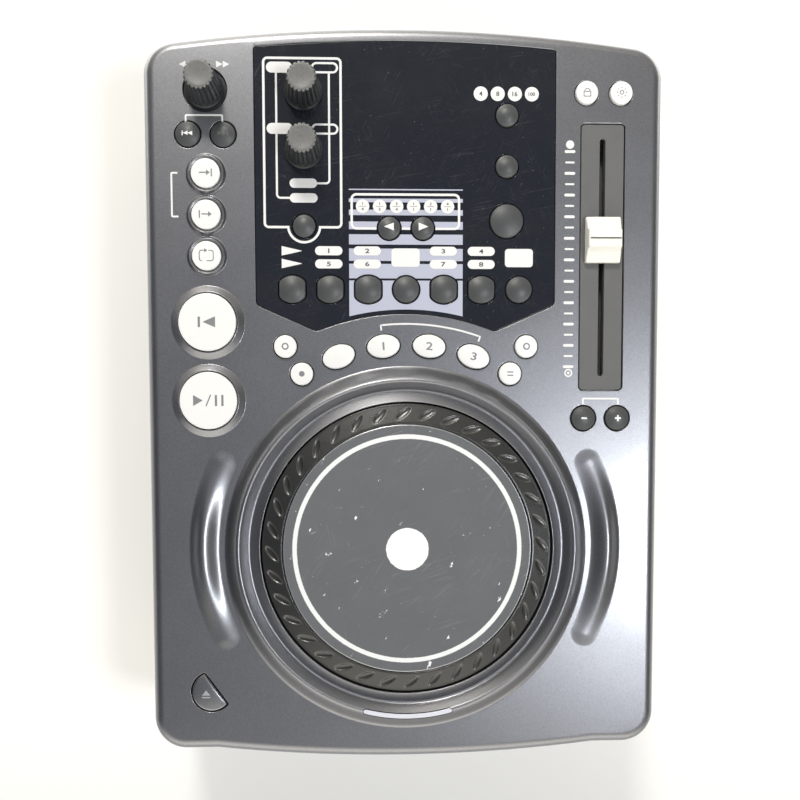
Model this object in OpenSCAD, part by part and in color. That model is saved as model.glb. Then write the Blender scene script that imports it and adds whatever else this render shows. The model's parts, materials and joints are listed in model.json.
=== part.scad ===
// Tabletop disc player with a slot drive, a touch jog wheel, a pitch fader and a button panel.
// Millimetres. +X is the user's right, +Y is the rear with the sockets, +Z is up.
// The origin lies on the table under the middle of the case.

/* [Case] */
// Width of the case over its straight sides
body_w = 220; // [212:1:270]
// Length of the case over its bowed ends
body_l = 313.4; // [310:0.2:380]
// Height of the case from its underside to the top panel
case_h = 79; // [74:1:96]
// Height of the rubber feet
foot_h = 7; // [4:0.5:12]
// Wall thickness of both case halves
wall = 3; // [2.4:0.1:3.8]
// Radius of the bowed front and rear ends
bow_r = 712; // [500:1:1200]
// Radius of the case corners seen from above
corner_r = 14; // [10:1:24]
// Rounding between the sides and the top panel
edge_r = 5; // [3:0.5:7]
// Depth of the flat shoulders beside the front bow
shoulder_in = 4.8; // [3:0.1:5.5]
// Height of the seam between the case halves above the underside
seam_h = 11; // [8:0.5:14]

/* [Top panel columns] */
// Distance of the left and right control columns from the case side
column_in = 26; // [25:0.5:30]
// Half the distance between the two buttons of a pair
pair_half = 7.35; // [7:0.05:9]
// Distance of the search knob and the lock buttons from the rear end
first_row_in = 27.5; // [26:0.5:32]
// Distance of the track buttons from the rear end
track_in = 45.9; // [44:0.5:50]
// Distance of the first loop button from the rear end
loop_in_y = 62.2; // [60:0.5:66]
// Pitch of the three loop buttons
loop_pitch = 17.05; // [16.6:0.05:20]
// Distance of the cue button from the rear end
cue_in = 124; // [118:0.5:130]
// Pitch of the cue and play buttons
cue_pitch = 32.9; // [32:0.1:36]
// Distance of the pitch bend buttons from the rear end
bend_in = 164.8; // [160:0.5:170]

/* [Buttons] */
// Gap between a button and its hole
button_gap = 0.4; // [0.3:0.05:0.6]
// How far a button's retaining flange reaches past its hole
flange_over = 1.0; // [0.8:0.1:1.4]
// Thickness of the retaining flange
flange_t = 1.0; // [0.8:0.1:1.4]
// Running gap between the flange and the panel's underside
flange_gap = 0.3; // [0.2:0.05:0.5]
// Radius of the stem under each button
stem_r = 2.0; // [1.6:0.1:2.4]
// Bevel along the top edge of a cap
cap_bevel = 0.5; // [0.3:0.1:0.8]
// Radius of the cue and play caps
big_r = 12.1; // [11:0.1:12.8]
// Height of the cue and play caps above the panel
big_rise = 3.2; // [2.8:0.1:4]
// Travel of the cue and play buttons
big_travel = 1.0; // [0.6:0.1:1.4]
// Radius of the loop button caps
loop_r = 6.1; // [5.6:0.1:6.4]
// Height of the loop button caps above the panel
loop_rise = 2.5; // [2.2:0.1:3.2]
// Radius of the track and pitch bend caps
small_r = 5.2; // [4.6:0.1:5.4]
// Radius of the small white caps
white_r = 4.8; // [4.4:0.1:5]
// Height of the small caps above the panel
small_rise = 1.8; // [1.4:0.1:2.6]
// Travel of the small buttons
small_travel = 0.6; // [0.4:0.1:0.9]
// Radius of the tap button
tap_r = 7.1; // [6.6:0.1:7.5]
// Half width of the barrel shaped effect buttons
fx_half = 5.6; // [5.2:0.1:5.9]
// Half depth of the barrel shaped effect buttons
fx_deep = 5.8; // [5.4:0.1:6.2]
// Radius of the curved ends of the effect buttons
fx_end_r = 7.4; // [6.8:0.1:8.5]
// Pitch of the seven effect buttons
fx_pitch = 16.1; // [15.6:0.1:16.5]
// Half length of the oval bank buttons
oval_a = 7.0; // [6.6:0.1:7.3]
// Half width of the oval bank buttons
oval_b = 4.9; // [4.5:0.1:5.2]
// Base radius of the collar round cue and play
big_collar_r = 15.7; // [15:0.1:16.2]
// Height of the collar round cue and play
big_collar_h = 1.8; // [1.6:0.1:2.6]
// Base radius of the collar round each loop button
loop_collar_r = 8.2; // [7.9:0.1:8.4]
// Height of the collar round each loop button
loop_collar_h = 1.5; // [1:0.1:1.8]

/* [Eject button] */
// Distance of the eject button's centre from the left side
eject_side = 25.4; // [24:0.1:30]
// Distance of the eject button's centre from the front end
eject_front = 30.7; // [29:0.1:34]
// Radius of the eject button's round side
eject_r = 8.6; // [8:0.1:9]
// Distance of its straight side from the centre
eject_chord = 2.2; // [1.5:0.1:3]
// Direction that the straight side faces, in degrees from +X
eject_turn = 36; // [25:1:50]

/* [Display panel] */
// Half width of the glossy display panel
lens_half = 63.7; // [62:0.1:65]
// Distance of the panel's rear edge from the rear end of the case
lens_in = 6.8; // [6.4:0.1:9]
// Distance of the straight sides' front ends from the jog centre
lens_side = 103.9; // [100:0.1:106]
// Half width of the hollow arc along the panel's front edge
lens_arc_half = 38.1; // [34:0.1:42]
// Distance of that arc outside the jog wheel
lens_arc_out = 38.1; // [37:0.1:40]
// Thickness of the panel
lens_t = 1.2; // [1:0.1:1.6]
// Gap round the panel in its recess
lens_gap = 0.15; // [0.1:0.05:0.3]
// Half width of the display behind the panel
display_half = 22.2; // [18:0.1:23]
// Depth of the display from rear to front
display_l = 56; // [40:1:58]
// Distance of the display's rear edge from the rear end
display_in = 10.4; // [10:0.1:14]
// Distance of the two round knobs from the centre line
knob_x = 43.1; // [40:0.1:46]
// Distance of the rear knob from the rear end
knob_in = 28.2; // [27:0.1:32]
// Pitch of the two knobs
knob_pitch = 24; // [22:0.1:26]
// Distance of the folder button from the rear end
folder_in = 83.5; // [82:0.1:86]
// Half the distance between the two select buttons
select_half = 7.15; // [6.6:0.05:8]
// Distance of the select buttons from the rear end
select_in = 84.2; // [82:0.1:86]
// Distance of the range, time and tap buttons from the centre line
right_x = 42.9; // [40:0.1:46]
// Distance of the pitch range button from the rear end
range_in = 37; // [35:0.1:39]
// Distance of the time button from the rear end
time_in = 58.2; // [56:0.1:60]
// Distance of the tap button from the rear end
tap_in = 81; // [79:0.1:83]

/* [Knobs] */
// Radius of the knob at its foot
knob_r = 8.0; // [7.4:0.1:8.4]
// Radius of the knob at its top
knob_top_r = 5.75; // [5:0.05:6.5]
// Height of the knob tops above the panel
knob_h = 17.5; // [14:0.1:20]
// Radius of the knob shafts
shaft_r = 3.0; // [2.5:0.1:3.2]
// Radius of the recess round the search knob
knob_recess_r = 9.3; // [9:0.1:9.8]
// Depth of the recess round the search knob
knob_recess_d = 1.4; // [1:0.1:1.6]

/* [Pitch fader] */
// Width of the fader plate
fader_w = 19; // [18:0.1:20]
// Length of the fader plate
fader_l = 113; // [110:0.5:116]
// Distance of the plate's rear end from the rear end of the case
fader_in = 39.9; // [38:0.1:42]
// Width of the slot in the plate
fader_slot_w = 2.4; // [2:0.1:3]
// Length of the slot in the plate
fader_slot_l = 100.4; // [96:0.1:102]
// Width of the fader cap
fader_cap_w = 15.2; // [14:0.1:16]
// Length of the fader cap
fader_cap_l = 19.3; // [17:0.1:21]
// Height of the cap's ridge above the panel
fader_cap_h = 6.2; // [5:0.1:8]
// Rest position of the cap ahead of the slot's middle, towards the rear
fader_rest = 7.4; // [0:0.1:10]

/* [Jog wheel] */
// Distance of the jog centre from the front end
jog_front = 93; // [90:0.5:97]
// Outer radius of the jog ring
jog_r = 62.1; // [58:0.1:75]
// Radius of the touch plate
plate_r = 52.5; // [48:0.1:54]
// Height of the touch plate above the panel
plate_rise = 6.0; // [5:0.1:8]
// Height of the jog ring's outer edge above the panel
ring_rise = 3.9; // [3:0.1:5]
// Thickness of the touch plate
plate_t = 1.5; // [1:0.1:2]
// Gap between the jog ring and its well
well_gap = 1.1; // [0.8:0.1:1.5]
// Depth of the well under the panel
well_d = 15; // [12:0.5:16]
// Radius of the fixed jog post
post_r = 5; // [4:0.1:6]
// Radial clearance of running fits
run_gap = 0.05; // [0.02:0.01:0.08]
// Height of the bowl rim's crest above the panel
rim_h = 6.8; // [5.5:0.1:8]
// Distance of the crest outside the jog ring
rim_crest = 9.7; // [9:0.1:11]
// Distance of the rim's foot outside the jog ring
rim_foot = 16.3; // [15.5:0.1:17]
// Distance of the bank button row outside the jog ring
bank_out = 24.9; // [24:0.1:26]
// Distance of the second button row outside the jog ring
outer_out = 38.4; // [38:0.1:40]
// Angle between neighbouring bank buttons about the jog centre
bank_step = 12.9; // [12:0.1:13.5]
// Angle of the outermost buttons about the jog centre
bank_end = 30.8; // [30:0.1:34]
// Half angle of the lamp window in the rim's front
lamp_half = 15.3; // [10:0.1:18]
// Inner distance of the finger ribs outside the jog ring
rib_in = 17.9; // [17.5:0.1:19]
// Width of the finger ribs
rib_w = 13.9; // [10:0.1:14]
// Height of the finger ribs
rib_h = 3.2; // [2:0.1:5]
// Half angle of the finger ribs about the jog centre
rib_half = 30; // [15:1:32]
// Distance of the effect button row outside the jog ring
fx_out = 48.4; // [47:0.1:50]

/* [Boards] */
// Distance from the top panel to the control board's upper face
board_drop = 18.4; // [17.5:0.1:20]
// Thickness of the circuit boards
board_t = 1.6; // [1.2:0.1:2]
// Height of the main boards above the case floor
standoff_h = 4.5; // [3:0.5:8]

/* [Disc drive] */
// Diameter of the disc that the drive takes
disc_d = 120; // [80:1:120]
// Height of the disc slot's middle above the case underside
slot_h = 37; // [34:0.5:40]
// Height of the slot opening
slot_open = 5.2; // [4.8:0.1:6]
// Room on each side of the disc in the slot
slot_side = 3; // [2:0.5:5]
// Distance of the spindle from the front end
spindle_front = 76; // [74:0.5:90]
// Thickness of the drive's sheet metal
sheet = 1.2; // [0.8:0.1:1.6]
// Travel of the laser sled
sled_travel = 34; // [20:1:36]

/* [Rear sockets] */
// Half width of the socket bay in the rear end
bay_half = 80; // [78:1:90]
// Depth of the bay behind the middle of the rear bow
bay_d = 10.7; // [9:0.1:12]
// Height of the bay's foot above the case underside
bay_low = 15; // [13:0.5:18]
// Height of the bay
bay_h = 38; // [34:0.5:42]
// Radius of a phono jack's barrel
phono_r = 4.15; // [4.1:0.05:4.2]
// Length of a phono jack's barrel
phono_l = 8.6; // [8:0.1:9]

/* [Hidden] */

$fn = 64;
eps = 0.01;
cut = 1;

// Heights of the main levels above the table
floor_z = foot_h;
seam_z = foot_h + seam_h;
panel_z = foot_h + case_h;
under_z = panel_z - wall;
board_z = panel_z - board_drop;
flange_z = under_z - flange_gap;
switch_h = 3.4;
switch_z = board_z + switch_h;
switch_body = 6;
switch_body_h = 2.8;
switch_key_r = 1.6;
press_gap = 0.3;

// Plan of the case
half_w = body_w / 2;
half_l = body_l / 2;
bow_y = half_l - bow_r;
corner_x = half_w - corner_r;
rear_corner_y = bow_y + sqrt(pow(bow_r - corner_r, 2) - pow(corner_x, 2));
bow_turn = asin(corner_x / (bow_r - corner_r));
shoulder_y = -(half_l - shoulder_in);
front_corner_y = shoulder_y + corner_r;
corner_steps = 6;
bow_steps = 14;
edge_steps = 3;

// Plan of the controls
left_x = -(half_w - column_in);
column_x = half_w - column_in;
jog_y = -half_l + jog_front;
first_y = half_l - first_row_in;
fader_y = half_l - fader_in - fader_l / 2;
bank_r = jog_r + bank_out;
outer_r = jog_r + outer_out;
fx_y = jog_y + jog_r + fx_out;

// A round button is [place, cap radius, rise above the panel, travel]
track_back = [[left_x - pair_half, half_l - track_in], small_r, small_rise, small_travel];
track_next = [[left_x + pair_half, half_l - track_in], small_r, small_rise, small_travel];
loop_start = [[left_x, half_l - loop_in_y], loop_r, loop_rise, small_travel];
loop_end = [[left_x, half_l - loop_in_y - loop_pitch], loop_r, loop_rise, small_travel];
reloop = [[left_x, half_l - loop_in_y - 2 * loop_pitch], loop_r, loop_rise, small_travel];
cue = [[left_x, half_l - cue_in], big_r, big_rise, big_travel];
play = [[left_x, half_l - cue_in - cue_pitch], big_r, big_rise, big_travel];
folder = [[-knob_x, half_l - folder_in], white_r, small_rise, small_travel];
select_down = [[-select_half, half_l - select_in], white_r, small_rise, small_travel];
select_up = [[select_half, half_l - select_in], white_r, small_rise, small_travel];
pitch_range = [[right_x, half_l - range_in], white_r, small_rise, small_travel];
time_mode = [[right_x, half_l - time_in], white_r, small_rise, small_travel];
tap = [[right_x, half_l - tap_in], tap_r, small_rise, small_travel];
sampler = [round_jog(outer_r, -bank_end), white_r, small_rise, small_travel];
memory = [round_jog(bank_r, -bank_end), white_r, small_rise, small_travel];
effect_outer = [round_jog(outer_r, bank_end), white_r, small_rise, small_travel];
effect_inner = [round_jog(bank_r, bank_end), white_r, small_rise, small_travel];
tempo_lock = [[column_x - pair_half, first_y], white_r, small_rise, small_travel];
pitch_switch = [[column_x + pair_half, first_y], white_r, small_rise, small_travel];
pitch_down = [[column_x - pair_half, half_l - bend_in], small_r, small_rise, small_travel];
pitch_up = [[column_x + pair_half, half_l - bend_in], small_r, small_rise, small_travel];
panel_rounds = [track_back, track_next, loop_start, loop_end, reloop, cue, play, sampler, memory,
                effect_outer, effect_inner, tempo_lock, pitch_switch, pitch_down, pitch_up];
lens_rounds = [folder, select_down, select_up, pitch_range, time_mode, tap];
bank_turns = [-1.5, -0.5, 0.5, 1.5];
fx_middle = 3;
fx_rounds = [3, 6];
fx_count = 7;
eject_at = [-half_w + eject_side, -half_l + eject_front];
eject_stem = -3 * [cos(eject_turn), sin(eject_turn)];
eject_post_out = 8;
eject_post_half = 7;
eject_posts = [for (s = [-1, 1])
                   eject_at + eject_post_out * [cos(eject_turn), sin(eject_turn)]
                            + s * eject_post_half * [-sin(eject_turn), cos(eject_turn)]];
search_at = [left_x, first_y];
time_at = [-knob_x, half_l - knob_in];
ratio_at = [-knob_x, half_l - knob_in - knob_pitch];
switch_places = concat([for (b = panel_rounds) [b[0], b[3]]],
                       [for (b = lens_rounds) [b[0], b[3]]],
                       [for (i = [0 : fx_count - 1]) [fx_at(i), small_travel]],
                       [for (t = bank_turns) [round_jog(bank_r, t * bank_step), small_travel]],
                       [[eject_at + eject_stem, small_travel]]);

// Columns for the case screws, the board posts and the floor posts
column_r = 4;
column_side = 6.5;
column_end = 28.7;
case_columns = [for (x = [-1, 1], y = [-1, 0, 1]) [x * (half_w - column_side), y * (half_l - column_end)]];
foot_r = 9;
foot_side = 24;
foot_end = 27;
screw_r = 1.5;
screw_hole_r = screw_r + run_gap;
screw_pass_r = screw_r + 0.25;
screw_head_r = 3;
screw_head_h = 2;
case_screw_l = 16;
board_post_r = 3;
board_side = 12.5;
board_half = half_w - board_side;
board_rear = half_l - 12.7;
board_front = jog_y + 39.7;
post_x = board_half - 3.5;
mid_post = [lens_half - 1.5, half_l - 66.7];
board_posts = [for (x = [-1, 1])
                   each [[x * post_x, board_rear - 4], [x * post_x, board_front + 6],
                         [x * mid_post[0], mid_post[1]]]];
board_screw_l = 8;
board_cut_r = jog_r + 10;
eject_board = [30, 29];
eject_board_off = [1.5, 1.5];

// Jog levels and radii
well_r = jog_r + well_gap;
well_z = panel_z - well_d;
well_outer = well_r + wall;
ledge_rise = ring_rise - 0.3;
rim_slope_w = 4.4;
rim_slope_h = 4.2;
rim_wall_w = 4.4;
rim_flare = 0.35;
rim_hollow = 1;
lamp_in = 0.7;
lamp_out = 1.8;
lamp_gap = 0.15;
plate_z = panel_z + plate_rise;
web_t = 3;
skirt_r = 0.66 * jog_r;
wheel_gap = 0.5;
bracket_r = 14;
bracket_h = 3.7;

// Knobs and encoders
knob_hole_r = shaft_r + 1.2;
knob_lift = 0.5;
encoder_body = 12;
encoder_body_h = 6.9;
encoder_h = 13;

// Display
display_frame = 1.8;
display_rear = half_l - display_in;
lens_z = panel_z - 0.2;
lens_floor = lens_z - lens_t;
window_gap = 0.4;

// Fader
fader_floor = 1.5;
fader_plate_drop = 0.3;
fader_edge = 0.35;
track_w = 14;
track_h = 8;
track_l = 122;
track_wall = 1;
lever_w = 1.2;
lever_l = 4;
fader_rest_y = fader_y + fader_rest;
cap_clear = 0.3;
cap_end_h = 2.3;
cap_ridge = 7;

// Drive
slot_z = floor_z + slot_h;
slot_half = disc_d / 2 + slot_side;
spindle_y = -half_l + spindle_front;
drive_half = disc_d / 2 + 8;
drive_z = floor_z + 19;
drive_top = slot_z + 11;
drive_front = -half_l + 7.8;
roller_r = 3.6;
roller_y = drive_front + 6;
roller_z = slot_z - slot_open / 2 - 0.8 - roller_r;
roller_shaft = 1.5;
deck_z = drive_z + 7;
rod_r = 1.5;
rod_x = 22;
rod_z = deck_z + 4.6;
hub_r = 14;
rod_front = spindle_y + hub_r + 1;
sled_l = 16;
sled_half = 27;
rod_block = 4;
sled_y = rod_front + rod_block + 1 + sled_l / 2;
rod_rear = sled_y + sled_travel + sled_l / 2 + rod_block + 2;
drive_rear = rod_rear + 8;
drive_posts = [for (x = [-1, 1], y = [drive_front + 10, drive_rear - 8]) [x * (drive_half - 8), y]];

// Bay and sockets
bay_y = half_l - bay_d;
bay_z = floor_z + bay_low;
socket_z = bay_z + bay_h / 2;
phono_places = [-66, -51, -33];
mini_places = [-14, 0];
switch_x = 28;
mains_x = 60;
rocker_r = 5.3;
rocker_w = 16;
rocker_tilt = 8;
rocker_y = bay_y + 0.2;

// Boards on the floor
main_board_x = [-96, 8];
supply_x = [22, 96];
floor_board_y = [drive_rear + 6, bay_y - 17];
floor_top = floor_z + wall;

// Place at a radius and a clockwise angle about the jog centre
function round_jog(r, turn) = [r * sin(turn), jog_y + r * cos(turn)];
function fx_at(i) = [(i - fx_middle) * fx_pitch, fx_y];

// Points along an arc, with and without its two ends
function arc(c, r, a0, a1, n) =
    [for (i = [0 : n]) let (a = a0 + (a1 - a0) * i / n) c + r * [cos(a), sin(a)]];
function arc_mid(c, r, a0, a1, n) =
    [for (i = [1 : n - 1]) let (a = a0 + (a1 - a0) * i / n) c + r * [cos(a), sin(a)]];

// Half width of the front bow where it meets the shoulders, at an inset
function shoulder_x(i) = sqrt(pow(bow_r - i, 2) - pow(-bow_y - shoulder_y - i, 2));

// Plan of the case, moved inwards by i
function outline(i) =
    let (front_turn = asin(shoulder_x(i) / (bow_r - i)))
    concat(arc([corner_x, rear_corner_y], corner_r - i, 0, 90 - bow_turn, corner_steps),
           arc_mid([0, bow_y], bow_r - i, 90 - bow_turn, 90 + bow_turn, bow_steps),
           arc([-corner_x, rear_corner_y], corner_r - i, 90 + bow_turn, 180, corner_steps),
           arc([-corner_x, front_corner_y], corner_r - i, 180, 270, corner_steps),
           arc([0, -bow_y], bow_r - i, 270 - front_turn, 270 + front_turn, bow_steps),
           arc([corner_x, front_corner_y], corner_r - i, 270, 360, corner_steps));

// Plan of the display panel, moved inwards by i
function lens_plan(i) =
    let (r = jog_r + lens_arc_out + i,
         side_y = jog_y + lens_side + i,
         arc_x = lens_arc_half - i,
         turn = asin(arc_x / r),
         rear_r = bow_r - lens_in - i,
         rear_turn = asin((lens_half - i) / rear_r))
    concat([[-lens_half + i, side_y]],
           arc([0, jog_y], r, 90 + turn, 90 - turn, 12),
           [[lens_half - i, side_y]],
           arc([0, bow_y], rear_r, 90 - rear_turn, 90 + rear_turn, 10));

// Smooth rise from 0 to 1
function ease(u) = u * u * (3 - 2 * u);

// Points of the bowl rim's outer and inner surface, as [radius, height]
function rim_outer() =
    [for (k = [0 : 12]) let (u = k / 12, d = (rim_foot - rim_crest) * u)
        [jog_r + rim_crest + d,
         panel_z + (rim_h - rim_flare) * (1 - ease(min(1, d / rim_wall_w)))
         + rim_flare * pow(1 - u, 2)]];
function rim_inner() =
    [for (k = [0 : 7]) let (u = k / 8)
        [jog_r + rim_crest - rim_slope_w * (1 - u), panel_z + rim_h - rim_slope_h * (1 - ease(u))]];

// Points of a finger rib's cross-section, crest towards its outer side
function rib_section() =
    [for (k = [0 : 12]) let (u = k / 12)
        [jog_r + rib_in + rib_w * u, panel_z + rib_h * pow(sin(180 * pow(u, 1.8)), 1.4)]];

module prism(points, z0, z1) {
    translate([0, 0, z0]) linear_extrude(z1 - z0) polygon(points);
}

module box(x, y, z) {
    translate([x[0], y[0], z[0]]) cube([x[1] - x[0], y[1] - y[0], z[1] - z[0]]);
}

module rod(at, r, z0, z1) {
    translate([at[0], at[1], z0]) cylinder(r = r, h = z1 - z0);
}

// A rod along X or Y
module rod_x_axis(x0, x1, y, z, r) {
    translate([x0, y, z]) rotate([0, 90, 0]) cylinder(r = r, h = x1 - x0);
}

module rod_y_axis(x, y0, y1, z, r) {
    translate([x, y0, z]) rotate([-90, 0, 0]) cylinder(r = r, h = y1 - y0);
}

// Case plan drawn up to the top panel with its rounded edge
module case_block() {
    steps = [for (k = [0 : edge_steps]) 90 * k / edge_steps];
    levels = concat([[0, seam_z]],
                    [for (a = steps) [edge_r * (1 - cos(a)), panel_z - edge_r * (1 - sin(a))]]);
    rings = [for (l = levels) [for (p = outline(l[0])) [p[0], p[1], l[1]]]];
    n = len(rings[0]);
    last = len(rings) - 1;
    points = [for (r = rings) each r];
    sides = [for (k = [0 : last - 1], j = [0 : n - 1])
                let (a = k * n + j, b = k * n + (j + 1) % n) each [[a, a + n, b + n], [a, b + n, b]]];
    polyhedron(points, concat(sides, [[for (j = [0 : n - 1]) j]],
                              [[for (j = [n - 1 : -1 : 0]) last * n + j]]));
}

// Plan of an oval cap and of a barrel shaped cap, grown by g
module oval_plan(g) {
    polygon([for (i = [0 : 47]) let (a = 7.5 * i) [(oval_a + g) * cos(a), (oval_b + g) * sin(a)]]);
}

module barrel_plan(g) {
    intersection() {
        square([2 * (fx_half + g), 4 * fx_deep], center = true);
        translate([0, fx_deep - fx_end_r]) circle(r = fx_end_r + g);
        translate([0, fx_end_r - fx_deep]) circle(r = fx_end_r + g);
    }
}

module fx_plan(i, g) {
    if (i == fx_rounds[0] || i == fx_rounds[1]) circle(r = fx_half + g);
    else barrel_plan(g);
}

module eject_plan(g) {
    intersection() {
        circle(r = eject_r + g);
        rotate(eject_turn) translate([-3 * eject_r, -2 * eject_r])
            square([3 * eject_r + eject_chord + g, 4 * eject_r]);
    }
}

// Push button of any plan: child 0 is the cap, child 1 the flange and child 2 the bevelled top
module plan_button(at, turn, rise, travel, stem_at = [0, 0]) {
    stem_z = switch_z + travel + press_gap;
    translate([at[0], at[1], 0]) {
        rotate(turn) translate([0, 0, flange_z - flange_t])
            linear_extrude(panel_z + rise - cap_bevel - flange_z + flange_t) children(0);
        rotate(turn) translate([0, 0, flange_z - flange_t]) linear_extrude(flange_t) children(1);
        rotate(turn) translate([0, 0, panel_z + rise - cap_bevel - eps])
            linear_extrude(cap_bevel + eps) children(2);
        rod(stem_at, stem_r, stem_z, flange_z - flange_t + eps);
    }
}

// Round push button turned in one piece
module round_button(b) {
    r = b[1];
    top = panel_z + b[2];
    stem_z = switch_z + b[3] + press_gap;
    flange_r = r + button_gap + flange_over;
    translate([b[0][0], b[0][1], 0]) rotate_extrude()
        polygon([[0, stem_z], [stem_r, stem_z], [stem_r, flange_z - flange_t],
                 [flange_r, flange_z - flange_t], [flange_r, flange_z], [r, flange_z],
                 [r, top - cap_bevel], [r - cap_bevel, top], [0, top]]);
}

module round_hole(b) {
    rod(b[0], b[1] + button_gap, under_z - cut, panel_z + b[2] + cut);
}

module plan_hole(at, turn) {
    translate([at[0], at[1], under_z - cut]) rotate(turn) linear_extrude(wall + 2 * cut) children();
}

// Every button hole that lies in the display panel
module lens_holes() {
    for (b = lens_rounds) round_hole(b);
    for (i = [0 : fx_count - 1]) plan_hole(fx_at(i), 0) fx_plan(i, button_gap);
    for (p = [time_at, ratio_at]) rod(p, knob_hole_r, under_z - cut, panel_z + cut);
}

module panel_holes() {
    for (b = panel_rounds) round_hole(b);
    for (t = bank_turns)
        plan_hole(round_jog(bank_r, t * bank_step), -t * bank_step) oval_plan(button_gap);
    plan_hole(eject_at, 0) eject_plan(button_gap);
    rod(search_at, knob_recess_r, panel_z - knob_recess_d, panel_z + cut);
    rod(search_at, knob_hole_r, under_z - cut, panel_z + cut);
}

module collar(b, foot_r, h) {
    translate([b[0][0], b[0][1], panel_z - eps])
        cylinder(r1 = foot_r, r2 = b[1] + button_gap + 0.5, h = h + eps);
}

// Well, ledge and raised rim round the jog wheel, as one turned section
module jog_bowl() {
    low = well_z - wall;
    hole_r = post_r + 0.3;
    translate([0, jog_y, 0]) rotate_extrude($fn = 128)
        polygon(concat([[hole_r, low], [hole_r, well_z], [well_r, well_z],
                        [well_r, panel_z + ledge_rise - 0.5], [well_r + 0.5, panel_z + ledge_rise]],
                       rim_inner(), rim_outer(),
                       [[jog_r + rim_foot, under_z], [jog_r + rim_foot - 4, under_z],
                        [jog_r + rim_foot - 6.2, panel_z + rim_hollow],
                        [well_outer, panel_z + rim_hollow - 1.5], [well_outer, low]]));
}

module finger_rib(side) {
    start = side > 0 ? -rib_half : 180 - rib_half;
    translate([0, jog_y, 0]) rotate(start) rotate_extrude(angle = 2 * rib_half, $fn = 128)
        polygon(concat([[jog_r + rib_in, panel_z - wall / 2]], rib_section(),
                       [[jog_r + rib_in + rib_w, panel_z - wall / 2]]));
}

module lamp_slot(g, z0, z1) {
    r = jog_r + rim_crest;
    turn = lamp_half + g / r * 180 / PI;
    translate([0, jog_y, 0]) rotate(270 - turn) rotate_extrude(angle = 2 * turn, $fn = 128)
        polygon([[r - lamp_in - g, z0], [r + lamp_out + g, z0],
                 [r + lamp_out + g, z1], [r - lamp_in - g, z1]]);
}

module upper_case() color("#6b6d72") {
    difference() {
        union() {
            difference() {
                case_block();
                prism(outline(wall), seam_z - cut, under_z);
                rod([0, jog_y], jog_r + rim_foot - 1.5, under_z - cut, panel_z + cut);
            }
            intersection() {
                prism(outline(wall / 2), bay_z - wall, bay_z + bay_h + wall);
                box([-bay_half - wall, bay_half + wall], [bay_y - wall, half_l],
                    [bay_z - wall, bay_z + bay_h + wall]);
            }
            jog_bowl();
            finger_rib(1);
            finger_rib(-1);
            for (b = [cue, play]) collar(b, big_collar_r, big_collar_h);
            for (b = [loop_start, loop_end, reloop]) collar(b, loop_collar_r, loop_collar_h);
            for (p = case_columns) rod(p, column_r, seam_z, under_z + eps);
            for (p = concat(board_posts, eject_posts)) rod(p, board_post_r, board_z, under_z + eps);
        }
        box([-bay_half, bay_half], [bay_y, half_l + cut], [bay_z, bay_z + bay_h]);
        slot_mouth();
        lens_holes();
        panel_holes();
        prism(lens_plan(0), lens_floor, panel_z + cut);
        box([-display_half - window_gap, display_half + window_gap],
            [display_rear - display_l - window_gap, display_rear + window_gap],
            [under_z - cut, panel_z]);
        fader_recess();
        lamp_slot(lamp_gap, panel_z - 1, panel_z + rim_h + cut);
        for (p = case_columns) rod(p, screw_hole_r, seam_z - cut, seam_z + case_screw_l - 5);
        for (p = concat(board_posts, eject_posts))
            rod(p, screw_hole_r, board_z - cut, board_z + board_screw_l);
        socket_holes();
    }
}

// Flared mouth of the disc slot in the front wall
module slot_mouth() {
    h = slot_open / 2;
    y = -half_l - cut;
    translate([-slot_half, 0, slot_z]) rotate([90, 0, 90]) linear_extrude(2 * slot_half)
        polygon([[y, -h - 1.5], [-half_l + 1.8, -h], [-half_l + 9, -h],
                 [-half_l + 9, h], [-half_l + 1.8, h], [y, h + 1.5]]);
}

module fader_recess() {
    r = 1.8;
    translate([column_x, fader_y, panel_z - fader_floor]) linear_extrude(fader_floor + cut)
        rounded_plan(fader_w, fader_l, r);
    box([column_x - 3, column_x + 3], [fader_y - fader_slot_l / 2 - 3, fader_y + fader_slot_l / 2 + 3],
        [under_z - cut, panel_z]);
}

// Rectangle with round corners about the origin
module rounded_plan(w, l, r) {
    square([w - 2 * r, l], center = true);
    square([w, l - 2 * r], center = true);
    for (x = [-1, 1], y = [-1, 1]) translate([x * (w / 2 - r), y * (l / 2 - r)]) circle(r = r);
}

// Holes in the bay's wall for the sockets and the switch
module socket_holes() {
    y0 = bay_y - wall - cut;
    y1 = bay_y + cut;
    for (x = phono_places) rod_y_axis(x, y0, y1, socket_z, phono_r + 0.3);
    for (x = mini_places) rod_y_axis(x, y0, y1, socket_z, 3.3);
    box([switch_x - 9.6, switch_x + 9.6], [y0, y1], [socket_z - 7, socket_z + 7]);
    box([mains_x - 10.5, mains_x + 10.5], [y0, y1], [socket_z - 6.5, socket_z + 6.5]);
}

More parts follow.
